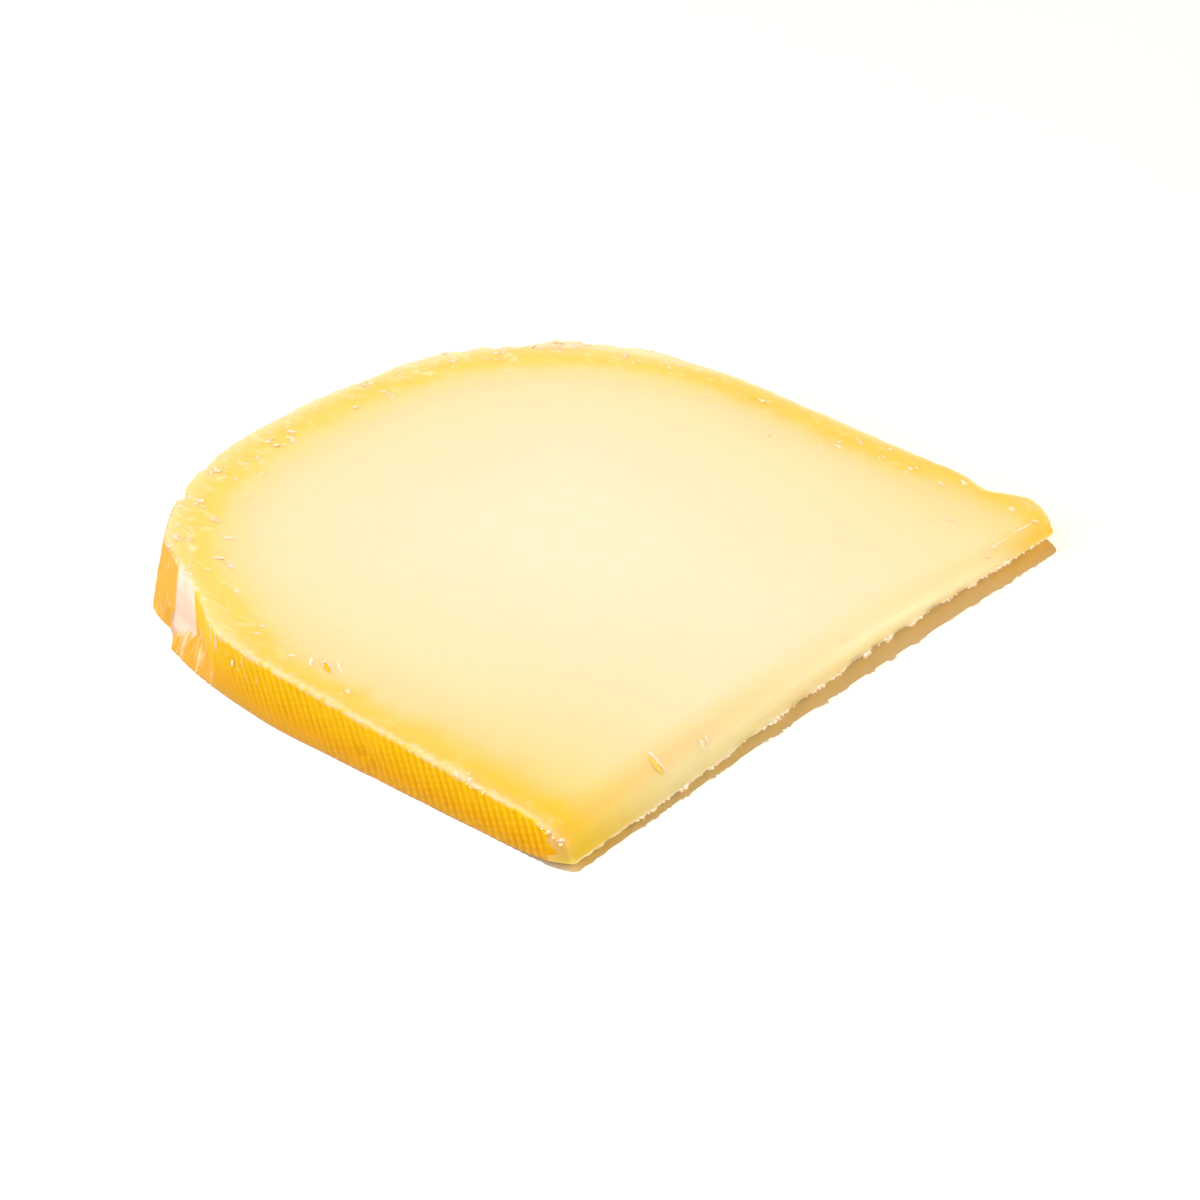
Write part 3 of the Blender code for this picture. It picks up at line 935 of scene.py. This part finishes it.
pasteLook = {
    # colour against depth from the rind in mm, and the same close to the inner cut's two corners
    "stops": ((0, "f6cd80"), (1, "f6c869"), (2, "f6c95f"), (3.4, "f6cc6e"), (5, "f6d190"), (7.2, "f6d6a2"),
              (10, "f6d8a9"), (14.5, "f6ddb4"), (20, "f6dfba"), (32, "f6e0c2"), (50, "f6e3c9")),
    "cornerStops": ((0, "f6c472"), (1, "f6c367"), (2, "f6c456"), (3.4, "f6c344"), (5, "f6c655"),
                    (7.2, "f6cb7c"), (10, "f6d391"), (14.5, "f6d6a0"), (20, "f6d7a9"), (32, "f6dcb9"),
                    (50, "f6dec0")),
    "span": 50.0,
    # share and colour, and colour at the two corners, of the slanting strip above the inner cut and of the
    # thin steep strip at the lip, both painted light that offsets the warm reflector, the steep strip also
    # paled by painted light through the thin lip; of the steep strip's pale grain, real at the torn edge and
    # painted light further along; and of the rim: lemon cast and pale rubbed band
    "tints": {
        "bevel": (0.38, "c6d48c", "c8d250"),
        "facet": (0.55, "dcf2d6", "d2d25e"),
        "grain": (0.80, "ecf4dc", "f2f0dc"),
        "lemon": (0.26, "f6e284", "f6e284"),
        "chalk": (0.75, "f9e8cc", "f9e8cc"),
    },
    # whitish scuffs: fibres and flecks as lengths in mm, limits and detail, down to a depth in mm,
    # and how strong they are on the flats and how much more on the rim
    "scuff": "fcf0cc",
    "fibres": ((1.0, 3.4, 3.0), 0.56, 0.80, 2.0),
    "flecks": ((2.2, 3.0, 2.5), 0.54, 0.74, 4.0),
    "scuffDepth": 6.5,
    "scuffShare": 0.36,
    "scuffRim": 0.25,
    "burr": "f9dcb4",
    "burrShare": 0.7,
    "burrPatches": ((1.1, 1.1, 1.1), 0.22, 0.56),
    "roughness": 0.5,
    "specular": 0.12,
    "subsurface": 0.8,
    "lightReach": 2.2,          # mm
}


# semi-hard cow's milk paste, cut with a long knife: a satin face, cream in the middle and deeper gold
# towards the rind, with whitish fibres that the knife dragged along y near the rim
def pasteMaterial():
    look = pasteLook
    material, tree, baseColour = startMaterial("semi-hard cheese paste, knife-cut", look)
    paint = {name: addNode(tree, "Attribute", {"attribute_name": name}, 2)
             for name in ("depth", "corner", "gilt", "rim", "burr", *look["tints"])}
    depthShare = addNode(tree, "Math", {"operation": "DIVIDE"}, i0=paint["depth"], i1=look["span"])
    runs = []
    for run in (look["stops"], look["cornerStops"]):
        stops = [(depth / look["span"], colour) for depth, colour in run]
        runs.append(addNode(tree, "ValToRGB", stops=stops, i0=depthShare))
    colour = addNode(tree, "Mix", mixed, 2, i0=paint["corner"], i6=runs[0], i7=runs[1])
    # the bevel and facet tints, and the grain tint on the far part of the steep strip, are painted light
    for name, (share, tint, cornerTint) in look["tints"].items():
        tint = addNode(tree, "Mix", mixed, 2, i0=paint["gilt"], i6=tint, i7=cornerTint)
        amount = addNode(tree, "Math", multiply, i0=paint[name], i1=share)
        colour = addNode(tree, "Mix", mixed, 2, i0=amount, i6=colour, i7=tint)
    fibres = patches(tree, *look["fibres"])
    flecks = patches(tree, *look["flecks"])
    scuffed = addNode(tree, "Math", {"operation": "MAXIMUM"}, i0=fibres, i1=flecks)
    outside = addNode(tree, "MapRange", i0=paint["depth"], i1=look["scuffDepth"], i2=0.0)
    strength = addNode(tree, "Math", {"operation": "MULTIPLY_ADD"},
                       i0=paint["rim"], i1=look["scuffRim"], i2=look["scuffShare"])
    amount = addNode(tree, "Math", multiply, i0=scuffed, i1=outside)
    amount = addNode(tree, "Math", multiply, i0=amount, i1=strength)
    colour = addNode(tree, "Mix", mixed, 2, i0=amount, i6=colour, i7=look["scuff"])
    rubbed = addNode(tree, "Math", multiply, i0=patches(tree, *look["burrPatches"]), i1=look["burrShare"])
    amount = addNode(tree, "Math", multiply, i0=paint["burr"], i1=rubbed)
    colour = addNode(tree, "Mix", mixed, 2, i0=amount, i6=colour, i7=look["burr"])
    tree.links.new(colour, baseColour)
    return material


rindLook = {
    # colour against the share of the height, in the grooves and on the ribs of the print; painted light:
    # lighter towards the top, as light glows through the upper edge, darker towards the foot, and the ribs
    # lighter than the grooves, partly the print's own colour and partly painted highlight on the ribs and
    # painted shade in the grooves
    "groovesWithPaintedLight": ((0.0, "d09838"), (0.10, "dca020"), (0.3, "e29c00"), (0.6, "ecaa00"), (0.9, "f4b600"),
                (1.0, "fabe00")),
    "ribs": ((0.0, "e8b05c"), (0.10, "eeb43c"), (0.3, "fabe14"), (0.6, "ffd008"), (0.9, "ffd60c"),
             (1.0, "ffda24")),
    "unprinted": 0.55,          # share of the ribs' colour where no cloth was
    # each pattern is lengths in mm and the two limits of the noise
    "amber": "f0b53e",
    "amberDull": "ebac42",
    "amberPatches": ((6.0, 6.0, 4.0), 0.4, 0.7),
    "amberFibre": "fbd898",
    "amberFibres": ((0.6, 0.6, 2.4), 0.56, 0.85),
    # painted shade for the recess at the foot of the peeled patch
    "foot": "eaa840",
    "paintedRecessShade": "d8ac90",
    "footShare": 0.8,
    "strand": "f8d09c",
    "peel": "fdecd2",
    "peelPink": "fadfc8",
    "peelPatches": ((3.0, 3.0, 4.0), 0.40, 0.70),
    "peelFoot": "eed2bc",
    "peelFootHeights": (0.78, 0.30),
    "burr": "fadab0",
    "burrPink": "f8d0b0",
    "burrPatches": ((0.9, 0.9, 0.7), 0.45, 0.62),
    "burrShare": 0.85,
    "burrGaps": ((0.8, 0.8, 0.6), 0.30, 0.54),
    "roughness": 0.45,
    "specular": 0.06,
    "subsurface": 0.3,
    "lightReach": 1.0,          # mm
}


# washed rind that took the print of its pressing cloth: a slightly waxy golden skin, painted lighter towards
# the top and darker towards the foot as light falls, with ribs painted lighter and grooves darker, partly as
# highlight and shade, a peeled pink-white patch and a pale burr where the knife left it
def rindMaterial():
    look = rindLook
    material, tree, baseColour = startMaterial("cheese rind, pressed in cloth", look)
    paint = {name: addNode(tree, "Attribute", {"attribute_name": name}, 2)
             for name in ("height", "ribs", "printed", "amber", "foot", "paintedRecessShade", "strands", "peel", "burr")}
    # between the ribs the share is 0, on them 1, and a little over a half where nothing was printed
    plain = addNode(tree, "Math", {"operation": "MULTIPLY_ADD"},
                    i0=paint["printed"], i1=-look["unprinted"], i2=look["unprinted"])
    share = addNode(tree, "Math", {"operation": "ADD", "use_clamp": True}, i0=paint["ribs"], i1=plain)
    # painted light by height: lighter towards the top and darker towards the foot; the ribs lighter than the
    # grooves, partly the print's colour and partly painted highlight and painted shade
    groovesWithPaintedLight = addNode(tree, "ValToRGB", i0=paint["height"], stops=look["groovesWithPaintedLight"])
    ribs = addNode(tree, "ValToRGB", i0=paint["height"], stops=look["ribs"])
    colour = addNode(tree, "Mix", mixed, 2, i0=share, i6=groovesWithPaintedLight, i7=ribs)
    dulled = patches(tree, *look["amberPatches"])
    amber = addNode(tree, "Mix", mixed, 2, i0=dulled, i6=look["amber"], i7=look["amberDull"])
    fibres = patches(tree, *look["amberFibres"])
    amber = addNode(tree, "Mix", mixed, 2, i0=fibres, i6=amber, i7=look["amberFibre"])
    colour = addNode(tree, "Mix", mixed, 2, i0=paint["amber"], i6=colour, i7=amber)
    # the darker foot, and painted shade in the recess at the foot of the peeled patch
    for name in ("foot", "paintedRecessShade"):
        amount = addNode(tree, "Math", multiply, i0=paint[name], i1=look["footShare"])
        colour = addNode(tree, "Mix", mixed, 2, i0=amount, i6=colour, i7=look[name])
    colour = addNode(tree, "Mix", mixed, 2, i0=paint["strands"], i6=colour, i7=look["strand"])
    pink = patches(tree, *look["peelPatches"])
    peel = addNode(tree, "Mix", mixed, 2, i0=pink, i6=look["peel"], i7=look["peelPink"])
    high, low = look["peelFootHeights"]
    lower = addNode(tree, "MapRange", i0=paint["height"], i1=high, i2=low)
    peel = addNode(tree, "Mix", mixed, 2, i0=lower, i6=peel, i7=look["peelFoot"])
    colour = addNode(tree, "Mix", mixed, 2, i0=paint["peel"], i6=colour, i7=peel)
    pink = patches(tree, *look["burrPatches"])
    burr = addNode(tree, "Mix", mixed, 2, i0=pink, i6=look["burr"], i7=look["burrPink"])
    rubbed = addNode(tree, "Math", multiply, i0=patches(tree, *look["burrGaps"]), i1=look["burrShare"])
    amount = addNode(tree, "Math", multiply, i0=paint["burr"], i1=rubbed)
    colour = addNode(tree, "Mix", mixed, 2, i0=amount, i6=colour, i7=burr)
    tree.links.new(colour, baseColour)
    return material


points, groups, paint, slots = buildSlice()
wedge = addPiece("cheeseSlice", points, groups, [pasteMaterial(), rindMaterial()])
for name, values in paint.items():
    layer = wedge.data.attributes.new(name, "FLOAT", "POINT")
    layer.data.foreach_set("value", values.astype(np.float32))
wedge.data.polygons.foreach_set("material_index", slots)
wedge.data.shade_smooth()
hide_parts("cheese_wedge")
print("slice made,", sum(len(group) * (group.shape[1] - 2) for group in groups), "triangles")


# faces of closed grids that stand one after another, each with its two poles last: quads between the
# rings and a fan at each pole, looking out where the columns turn anticlockwise seen from the first pole
def closedFaces(rings, columns, count, clockwise=False):
    here = np.arange(columns)
    after = (here + 1) % columns
    low = (np.arange(rings - 1) * columns)[:, None]
    quads = np.stack([low + here, low + columns + here, low + columns + after, low + after], -1)
    last = (rings - 1) * columns
    pole = last + columns
    fans = np.vstack([np.stack([np.full(columns, pole), here, after], -1),
                      np.stack([np.full(columns, pole + 1), last + after, last + here], -1)])
    groups = [quads.reshape(-1, 4), fans]
    if clockwise:
        groups = [np.roll(group[:, ::-1], 1, 1) for group in groups]
    first = np.arange(count)[:, None, None] * (rings * columns + 2)
    return [(group + first).reshape(-1, group.shape[1]) for group in groups]


lump = {
    "rings": 4,
    "columns": 8,
    "waves": ((1, 0.18), (2, 0.22), (3, 0.16)),     # order and amount of what makes it uneven
    "leastWave": 0.3,           # each wave has between this share and all of its amount
}


# closed lumps, all at once: a sphere's grid whose radius is 1 + a sum of amount * cos(order * turn +
# phase), stretched to each size, tipped about x, turned about z and set at its place
def lumps(place, size, turn, tip, seed):
    rings, columns = lump["rings"], lump["columns"]
    random = np.random.default_rng(seed)
    count = len(place)
    fall = (np.arange(1, rings + 1) / (rings + 1) * math.pi)[:, None]
    around = np.arange(columns) * 2 * math.pi / columns
    radius = np.ones((count, rings, columns))
    for order, amount in lump["waves"]:
        phase = random.uniform(0, 2 * math.pi, (count, 1, 1))
        share = random.uniform(lump["leastWave"], 1, (count, 1, 1))
        radius += amount * share * np.cos(order * around + phase + order * fall)
    ball = np.stack([np.sin(fall) * np.cos(around), np.sin(fall) * np.sin(around),
                     np.cos(fall) + 0 * around], -1) * radius[..., None]
    poles = np.broadcast_to([[0, 0, 1], [0, 0, -1]], (count, 2, 3))
    points = np.concatenate([ball.reshape(count, -1, 3), poles], 1) * size[:, None]
    x, y, z = np.moveaxis(points, 2, 0)
    c, s = np.cos(tip)[:, None], np.sin(tip)[:, None]
    y, z = c * y - s * z, s * y + c * z
    c, s = np.cos(turn)[:, None], np.sin(turn)[:, None]
    points = np.stack([c * x - s * y, s * x + c * y, z], -1) + place[:, None]
    return points.reshape(-1, 3), closedFaces(rings, columns, count)


# broken paste: light hardly enters it, and its grain is in patches of so many mm
brokenPaste = {
    "grain": ((0.8, 0.8, 0.8), 0.4, 0.62),
    "specular": 0.1,
    "subsurface": 0.0,
    "lightReach": 1.0,          # mm
}


# paste that broke instead of being cut: a dull face whose dry white grain is two tones in small patches
def crumbMaterial(kind):
    look = {**brokenPaste, "roughness": kind["roughness"]}
    material, tree, baseColour = startMaterial(kind["material"], look)
    tone, otherTone = kind["tones"]
    colour = addNode(tree, "Mix", mixed, 2, i0=patches(tree, *look["grain"]), i6=tone, i7=otherTone)
    tree.links.new(colour, baseColour)
    return material


flakes = {
    "material": "cheese flakes, lifted by the knife",
    "tones": ("f8e6cc", "f6dcb8"),
    "roughness": 0.6,
    # where the knife lifted the paste: x and y of both ends, number of flakes, spread
    "marks": (
        (105.5, 54.6, 106.8, 50.6, 5, 0.2), (99.0, 45.3, 97.8, 43.9, 3, 0.1),
        (100.8, 36.6, 100.8, 36.6, 4, 0.4), (104.5, 36.5, 103.1, 34.3, 5, 0.4),
        (107.3, 34.6, 106.7, 32.5, 4, 0.4), (104.9, 27.9, 104.9, 27.9, 3, 0.3),
        (107.9, 28.8, 107.9, 28.8, 3, 0.3), (104.7, 23.4, 106.7, 22.8, 4, 0.3),
        (105.3, 17.4, 105.3, 17.4, 3, 0.3), (107.8, 14.9, 107.8, 14.9, 4, 0.5),
        (95.8, 12.3, 97.8, 10.3, 5, 0.3), (106.8, 5.7, 106.8, 5.7, 3, 0.25),
        (106.5, 1.4, 106.5, 1.4, 2, 0.15), (93.0, 1.5, 106.5, 1.0, 4, 0.16),
        (65.7, 98.7, 65.7, 91.6, 6, 0.15), (14.4, 79.1, 14.3, 74.7, 8, 0.25),
        (42.0, 97.7, 42.5, 95.1, 7, 0.5), (36.9, 94.9, 36.9, 94.9, 5, 0.6),
        (47.8, 98.1, 44.5, 94.6, 8, 0.4), (28.4, 87.8, 28.4, 87.8, 4, 0.4),
        (20.6, 86.1, 20.6, 86.1, 5, 0.5), (19.0, 81.7, 19.0, 81.7, 3, 0.3),
        (81.4, 95.6, 81.4, 94.5, 6, 0.5), (89.8, 91.7, 89.8, 91.7, 4, 0.5),
        (95.0, 88.0, 100.8, 83.2, 22, 0.5), (102.9, 77.1, 102.9, 77.1, 4, 0.4),
        (106.6, 68.8, 106.6, 68.8, 4, 0.4), (30.9, 97.0, 27.9, 94.4, 9, 0.5),
        (22.9, 91.7, 22.3, 91.0, 6, 0.4), (14.0, 88.0, 14.2, 84.7, 9, 0.4),
        (9.2, 80.4, 9.4, 78.8, 10, 0.5), (6.9, 50.9, 5.6, 48.4, 5, 0.15),
        (4.4, 43.2, 3.3, 43.0, 5, 0.25), (4.2, 54.3, 4.2, 54.3, 3, 0.25),
        (60.9, 4.0, 60.2, 2.7, 3, 0.15),
    ),
    # strays along the rim, thinning out inwards by the reach: number, radians left free at both ends,
    # mm from the rind, mean reach and most
    "strays": 55,
    "strayEnds": 0.1,
    "strayInset": 0.3,
    "strayReach": 2.6,
    "strayMost": 8,
    "shavedInset": 0.2,         # mm that they keep inside the near side, facet and all
    "shavedSide": 60,           # x up to which that is looked at
    # half width, half length and half height, drawn out along y as the knife went
    "sizes": ((0.20, 0.42), (0.35, 0.90), (0.008, 0.018)),
    "scale": (0.6, 1.15),
    "lift": 0.3,                # of the half height
    "turn": 0.35,               # radians
    "tip": 0.06,
    "seed": 31,
    "lumpSeed": 41,
}


# places strewn round each mark, some of them drawn out along the mark's line
def strewn(marks, random):
    places = []
    for x0, y0, x1, y1, number, spread in marks:
        share = random.uniform(0, 1, number)
        places.append(np.stack([mix(x0, x1, share), mix(y0, y1, share)], -1)
                      + random.normal(0, spread, (number, 2)))
    return np.concatenate(places)


# strays stand along the rim's half round, where the superellipse's radius is
# (|cos|^n + sin^n)^(-1/n), an exponential distance in from it
def addFlakes():
    kind = flakes
    random = np.random.default_rng(kind["seed"])
    place = strewn(kind["marks"], random)
    turn = random.uniform(kind["strayEnds"], math.pi - kind["strayEnds"], kind["strays"])
    inward = random.exponential(kind["strayReach"], kind["strays"])
    inward = kind["strayInset"] + clamp(inward, 0, kind["strayMost"])
    n = wheel["exponent"]
    radius = (np.abs(np.cos(turn)) ** n + np.sin(turn) ** n) ** (-1 / n)
    x = halfWidth - halfWidth * np.cos(turn) * radius
    y = wheel["flatEnd"] + wheel["rimDepth"] * np.sin(turn) * radius
    nx, ny = rimNormal(x, y)
    inward = inward + np.maximum(rimWear(x, 1.0), 0)
    place = np.vstack([place, np.stack([x - nx * inward, y - ny * inward], -1)])
    inside = place[:, 0] > shavedX(place[:, 1]) + kind["shavedInset"]
    place = place[inside | (place[:, 0] > kind["shavedSide"])]
    count = len(place)
    size = np.zeros((count, 3))
    # drawn one after another in the order width, length and height
    for axis, limits in enumerate(kind["sizes"]):
        size[:, axis] = random.uniform(*limits, count)
    size = size * random.uniform(*kind["scale"], (count, 1))
    z = topHeight(place[:, 0], place[:, 1]) + kind["lift"] * size[:, 2]
    turn = random.normal(0, kind["turn"], count)
    tip = random.normal(0, kind["tip"], count)
    points, groups = lumps(np.column_stack([place, z]), size, turn, tip, kind["lumpSeed"])
    addPiece("raisedFlakes", points, groups, [crumbMaterial(kind)])


burrScraps = {
    "material": "cheese scraps of the rind's burr",
    "tones": ("fdecd4", "fae0bc"),
    "roughness": 0.7,
    # crumbly scraps on the upper edge of the near flat: y from and to, number, size in mm
    "runs": ((15.5, 21.0, 26, 0.32), (5.6, 6.6, 8, 0.34), (4.2, 5.2, 7, 0.32), (3.0, 3.8, 6, 0.30),
             (8, 62, 40, 0.13), (62, 74, 8, 0.14)),
    "inset": 0.1,               # mm in from the edge
    "spread": 0.40,
    "sink": 0.05,               # mm that they stand in the paste
    # clumps standing on the rim's edge: x, number, size
    "rim": ((96.4, 2, 0.70), (98.2, 3, 0.60), (99.8, 2, 0.70), (101.2, 1, 0.40), (81.5, 3, 0.36),
            (86.0, 2, 0.32), (104.0, 3, 0.28), (106.6, 3, 0.28), (66.0, 2, 0.28), (48.0, 3, 0.28),
            (37.0, 3, 0.28), (73.0, 2, 0.26)),
    "rimSpread": 0.7,           # mm along x
    "rimInset": (0.1, 0.9),
    "rimEnd": 1,                # mm short of the far flat
    "scale": (0.5, 1.3),        # of the whole scrap, then of each side of it
    "sideScale": (0.6, 1.2),
    "flatness": 0.32,
    "turn": 6.3,                # radians: any way round
    "tip": 0.3,
    # flat scraps left in the nicks of the near flat
    "nick": ((0.22, 37.4, 3.9), (0.25, 36.7, 3.2), (0.20, 36.2, 2.4), (0.50, 61.7, 6.5)),
    "nickSize": (0.07, 0.36, 0.50),
    "seed": 32,
    "lumpSeed": 42,
}


def addBurrScraps():
    kind = burrScraps
    random = np.random.default_rng(kind["seed"])
    runs = []
    for low, high, number, size in kind["runs"]:
        y = random.uniform(low, high, number)
        inward = random.normal(kind["inset"], kind["spread"], number)
        edge = shavedX(y) + wornCorner(y, facetTop(0.0)[0], *outlineForm["nearCorner"])
        x = edge + np.maximum(inward, kind["inset"])
        # those that fell over the edge hang on the side
        z = topHeight(x, y) - np.maximum(-inward, 0) - kind["sink"]
        runs.append(np.stack([x, y, z, np.full(number, size)], -1))
    for middle, number, size in kind["rim"]:
        x = np.minimum(random.normal(middle, kind["rimSpread"], number), wheel["height"] - kind["rimEnd"])
        nx, ny = rimNormal(x, rimY(x))
        inward = random.uniform(*kind["rimInset"], number) + rimWear(x, 1.0)
        x, y = x - nx * inward, rimY(x) - ny * inward
        runs.append(np.stack([x, y, topHeight(x, y), np.full(number, size)], -1))
    loose = np.vstack(runs)
    count, flat = len(loose), len(kind["nick"])
    size = loose[:, 3:] * random.uniform(*kind["scale"], (count, 1))
    size = size * random.uniform(*kind["sideScale"], (count, 3)) * [1.0, 1.0, kind["flatness"]]
    size = np.vstack([size, np.tile(kind["nickSize"], (flat, 1))])
    place = np.vstack([loose[:, :3], kind["nick"]])
    turn = np.concatenate([random.uniform(0, kind["turn"], count), np.zeros(flat)])
    tip = np.concatenate([random.normal(0, kind["tip"], count), np.zeros(flat)])
    points, groups = lumps(place, size, turn, tip, kind["lumpSeed"])
    addPiece("burrScraps", points, groups, [crumbMaterial(kind)])


lipCrumbs = {
    "material": "cheese crumbs, broken off at the lip",
    "tones": ("fdf2e4", "f8e6cc"),
    "roughness": 0.7,
    # clumps hanging on the lip: x, number of crumbs, size in mm
    "clumps": ((16.3, 4, 0.22), (22.5, 6, 0.27), (28.7, 3, 0.22), (42.3, 6, 0.28), (52.0, 6, 0.28),
               (56.2, 4, 0.24), (62.8, 5, 0.28), (67.3, 6, 0.30), (73.3, 4, 0.26), (88.0, 5, 0.24),
               (93.4, 4, 0.22), (96.0, 5, 0.26)),
    "clumpSpread": 0.42,        # mm along x
    "fringe": 190,              # small teeth all along it: number, x from and to, sizes
    "fringeAlong": (12.0, 109),
    "fringeSize": (0.08, 0.20),
    "overhang": (0.0, 0.55),    # out from the lip and up from it, as shares of the size
    "rise": (-0.4, 0.9),
    "scale": (0.6, 1.4),
    "sides": (1.2, 0.9, 0.8),
    "turn": 0.5,                # radians
    "tip": 0.8,
    "seed": 33,
    "lumpSeed": 43,
}


def addLipCrumbs():
    kind = lipCrumbs
    random = np.random.default_rng(kind["seed"])
    clumps = [np.column_stack([random.normal(x, kind["clumpSpread"], number), np.full(number, size)])
              for x, number, size in kind["clumps"]]
    teeth = random.uniform(*kind["fringeAlong"], kind["fringe"])
    fringe = np.column_stack([teeth, random.uniform(*kind["fringeSize"], kind["fringe"])])
    x, size = np.vstack([*clumps, fringe]).T
    count = len(x)
    y = lipY(x) + scallopDepth(x) - size * random.uniform(*kind["overhang"], count)
    z = lipLift(x) + size * random.uniform(*kind["rise"], count)
    size = size[:, None] * random.uniform(*kind["scale"], (count, 3)) * kind["sides"]
    turn = random.normal(0, kind["turn"], count)
    tip = random.uniform(-kind["tip"], kind["tip"], count)
    points, groups = lumps(np.stack([x, y, z], -1), size, turn, tip, kind["lumpSeed"])
    addPiece("lipCrumbs", points, groups, [crumbMaterial(kind)])


addFlakes()
addBurrScraps()
addLipCrumbs()
print("flakes, scraps and crumbs strewn")

# what the knife tore in the top cut, each by lines: x and y of both ends, half width, half thickness
knifeTears = {
    # deep gold lenses laid on the cut: partly the torn paste's own gold, partly painted shade of the slit
    "slitsWithPaintedShade": {
        "material": "cheese paste, torn open, painted shade in the slit",
        "tones": ("f0c428", "e8bc24"),
        "roughness": 0.5,
        "lines": ((6.6, 50.6, 5.0, 47.4, 0.34, 0.05), (98.9, 45.2, 97.9, 44.0, 0.12, 0.04),
                  (105.6, 54.3, 106.6, 51.0, 0.14, 0.04)),
    },
    "liftedFlaps": {
        "material": "cheese paste, lifted flap",
        "tones": ("ecd870", "e8d060"),
        "roughness": 0.5,
        "lines": ((20.5, 5.9, 20.5, 3.0, 0.42, 0.03), (61.4, 98.4, 61.6, 96.9, 0.16, 0.03)),
    },
    "rubbedSmears": {
        "material": "cheese paste, rubbed up by the knife",
        "tones": ("fceedc", "f8e0c4"),
        "roughness": 0.6,
        "lines": ((21.1, 6.6, 21.3, 3.2, 0.34, 0.05), (29.0, 3.9, 28.6, 2.5, 0.40, 0.05),
                  (30.2, 3.9, 29.9, 3.1, 0.28, 0.04), (5.9, 51.9, 4.3, 50.4, 0.26, 0.05),
                  (7.6, 48.9, 6.2, 46.4, 0.22, 0.05), (94.0, 1.9, 99.5, 1.6, 0.12, 0.02),
                  (101.0, 1.7, 106.0, 1.3, 0.14, 0.02)),
    },
}

spindle = {
    "rings": 9,
    "columns": 8,
    "taper": 0.6,               # power of the sine
    "bend": 0.25,               # of the half width
}


# flat spindles laid in the top cut, bent as a weak S: half width and thickness times
# sin(pi * share)^taper along the line, moved aside by bend * sin(2 pi * share)
def addSpindles(name, kind):
    rings, columns = spindle["rings"], spindle["columns"]
    lines = np.array(kind["lines"])
    x0, y0, x1, y1, width, thick = lines.T[:, :, None, None]
    share = (np.arange(1, rings + 1) / (rings + 1))[:, None]
    swell = np.sin(math.pi * share) ** spindle["taper"]
    turn = np.arange(columns) * 2 * math.pi / columns
    side = width * (swell * np.cos(turn) + spindle["bend"] * np.sin(2 * math.pi * share))
    length = np.hypot(x1 - x0, y1 - y0)
    x = mix(x0, x1, share) + (y0 - y1) / length * side
    y = mix(y0, y1, share) + (x1 - x0) / length * side
    z = topHeight(x, y) + swell * thick * np.sin(turn)
    body = np.stack([x, y, z], -1).reshape(len(lines), -1, 3)
    ends = lines[:, :4].reshape(-1, 2, 2)
    ends = np.concatenate([ends, topHeight(ends[..., 0], ends[..., 1])[..., None]], -1)
    points = np.concatenate([body, ends], 1).reshape(-1, 3)
    addPiece(name, points, closedFaces(rings, columns, len(lines), clockwise=True), [crumbMaterial(kind)])


for name, kind in knifeTears.items():
    addSpindles(name, kind)
print("slits torn")
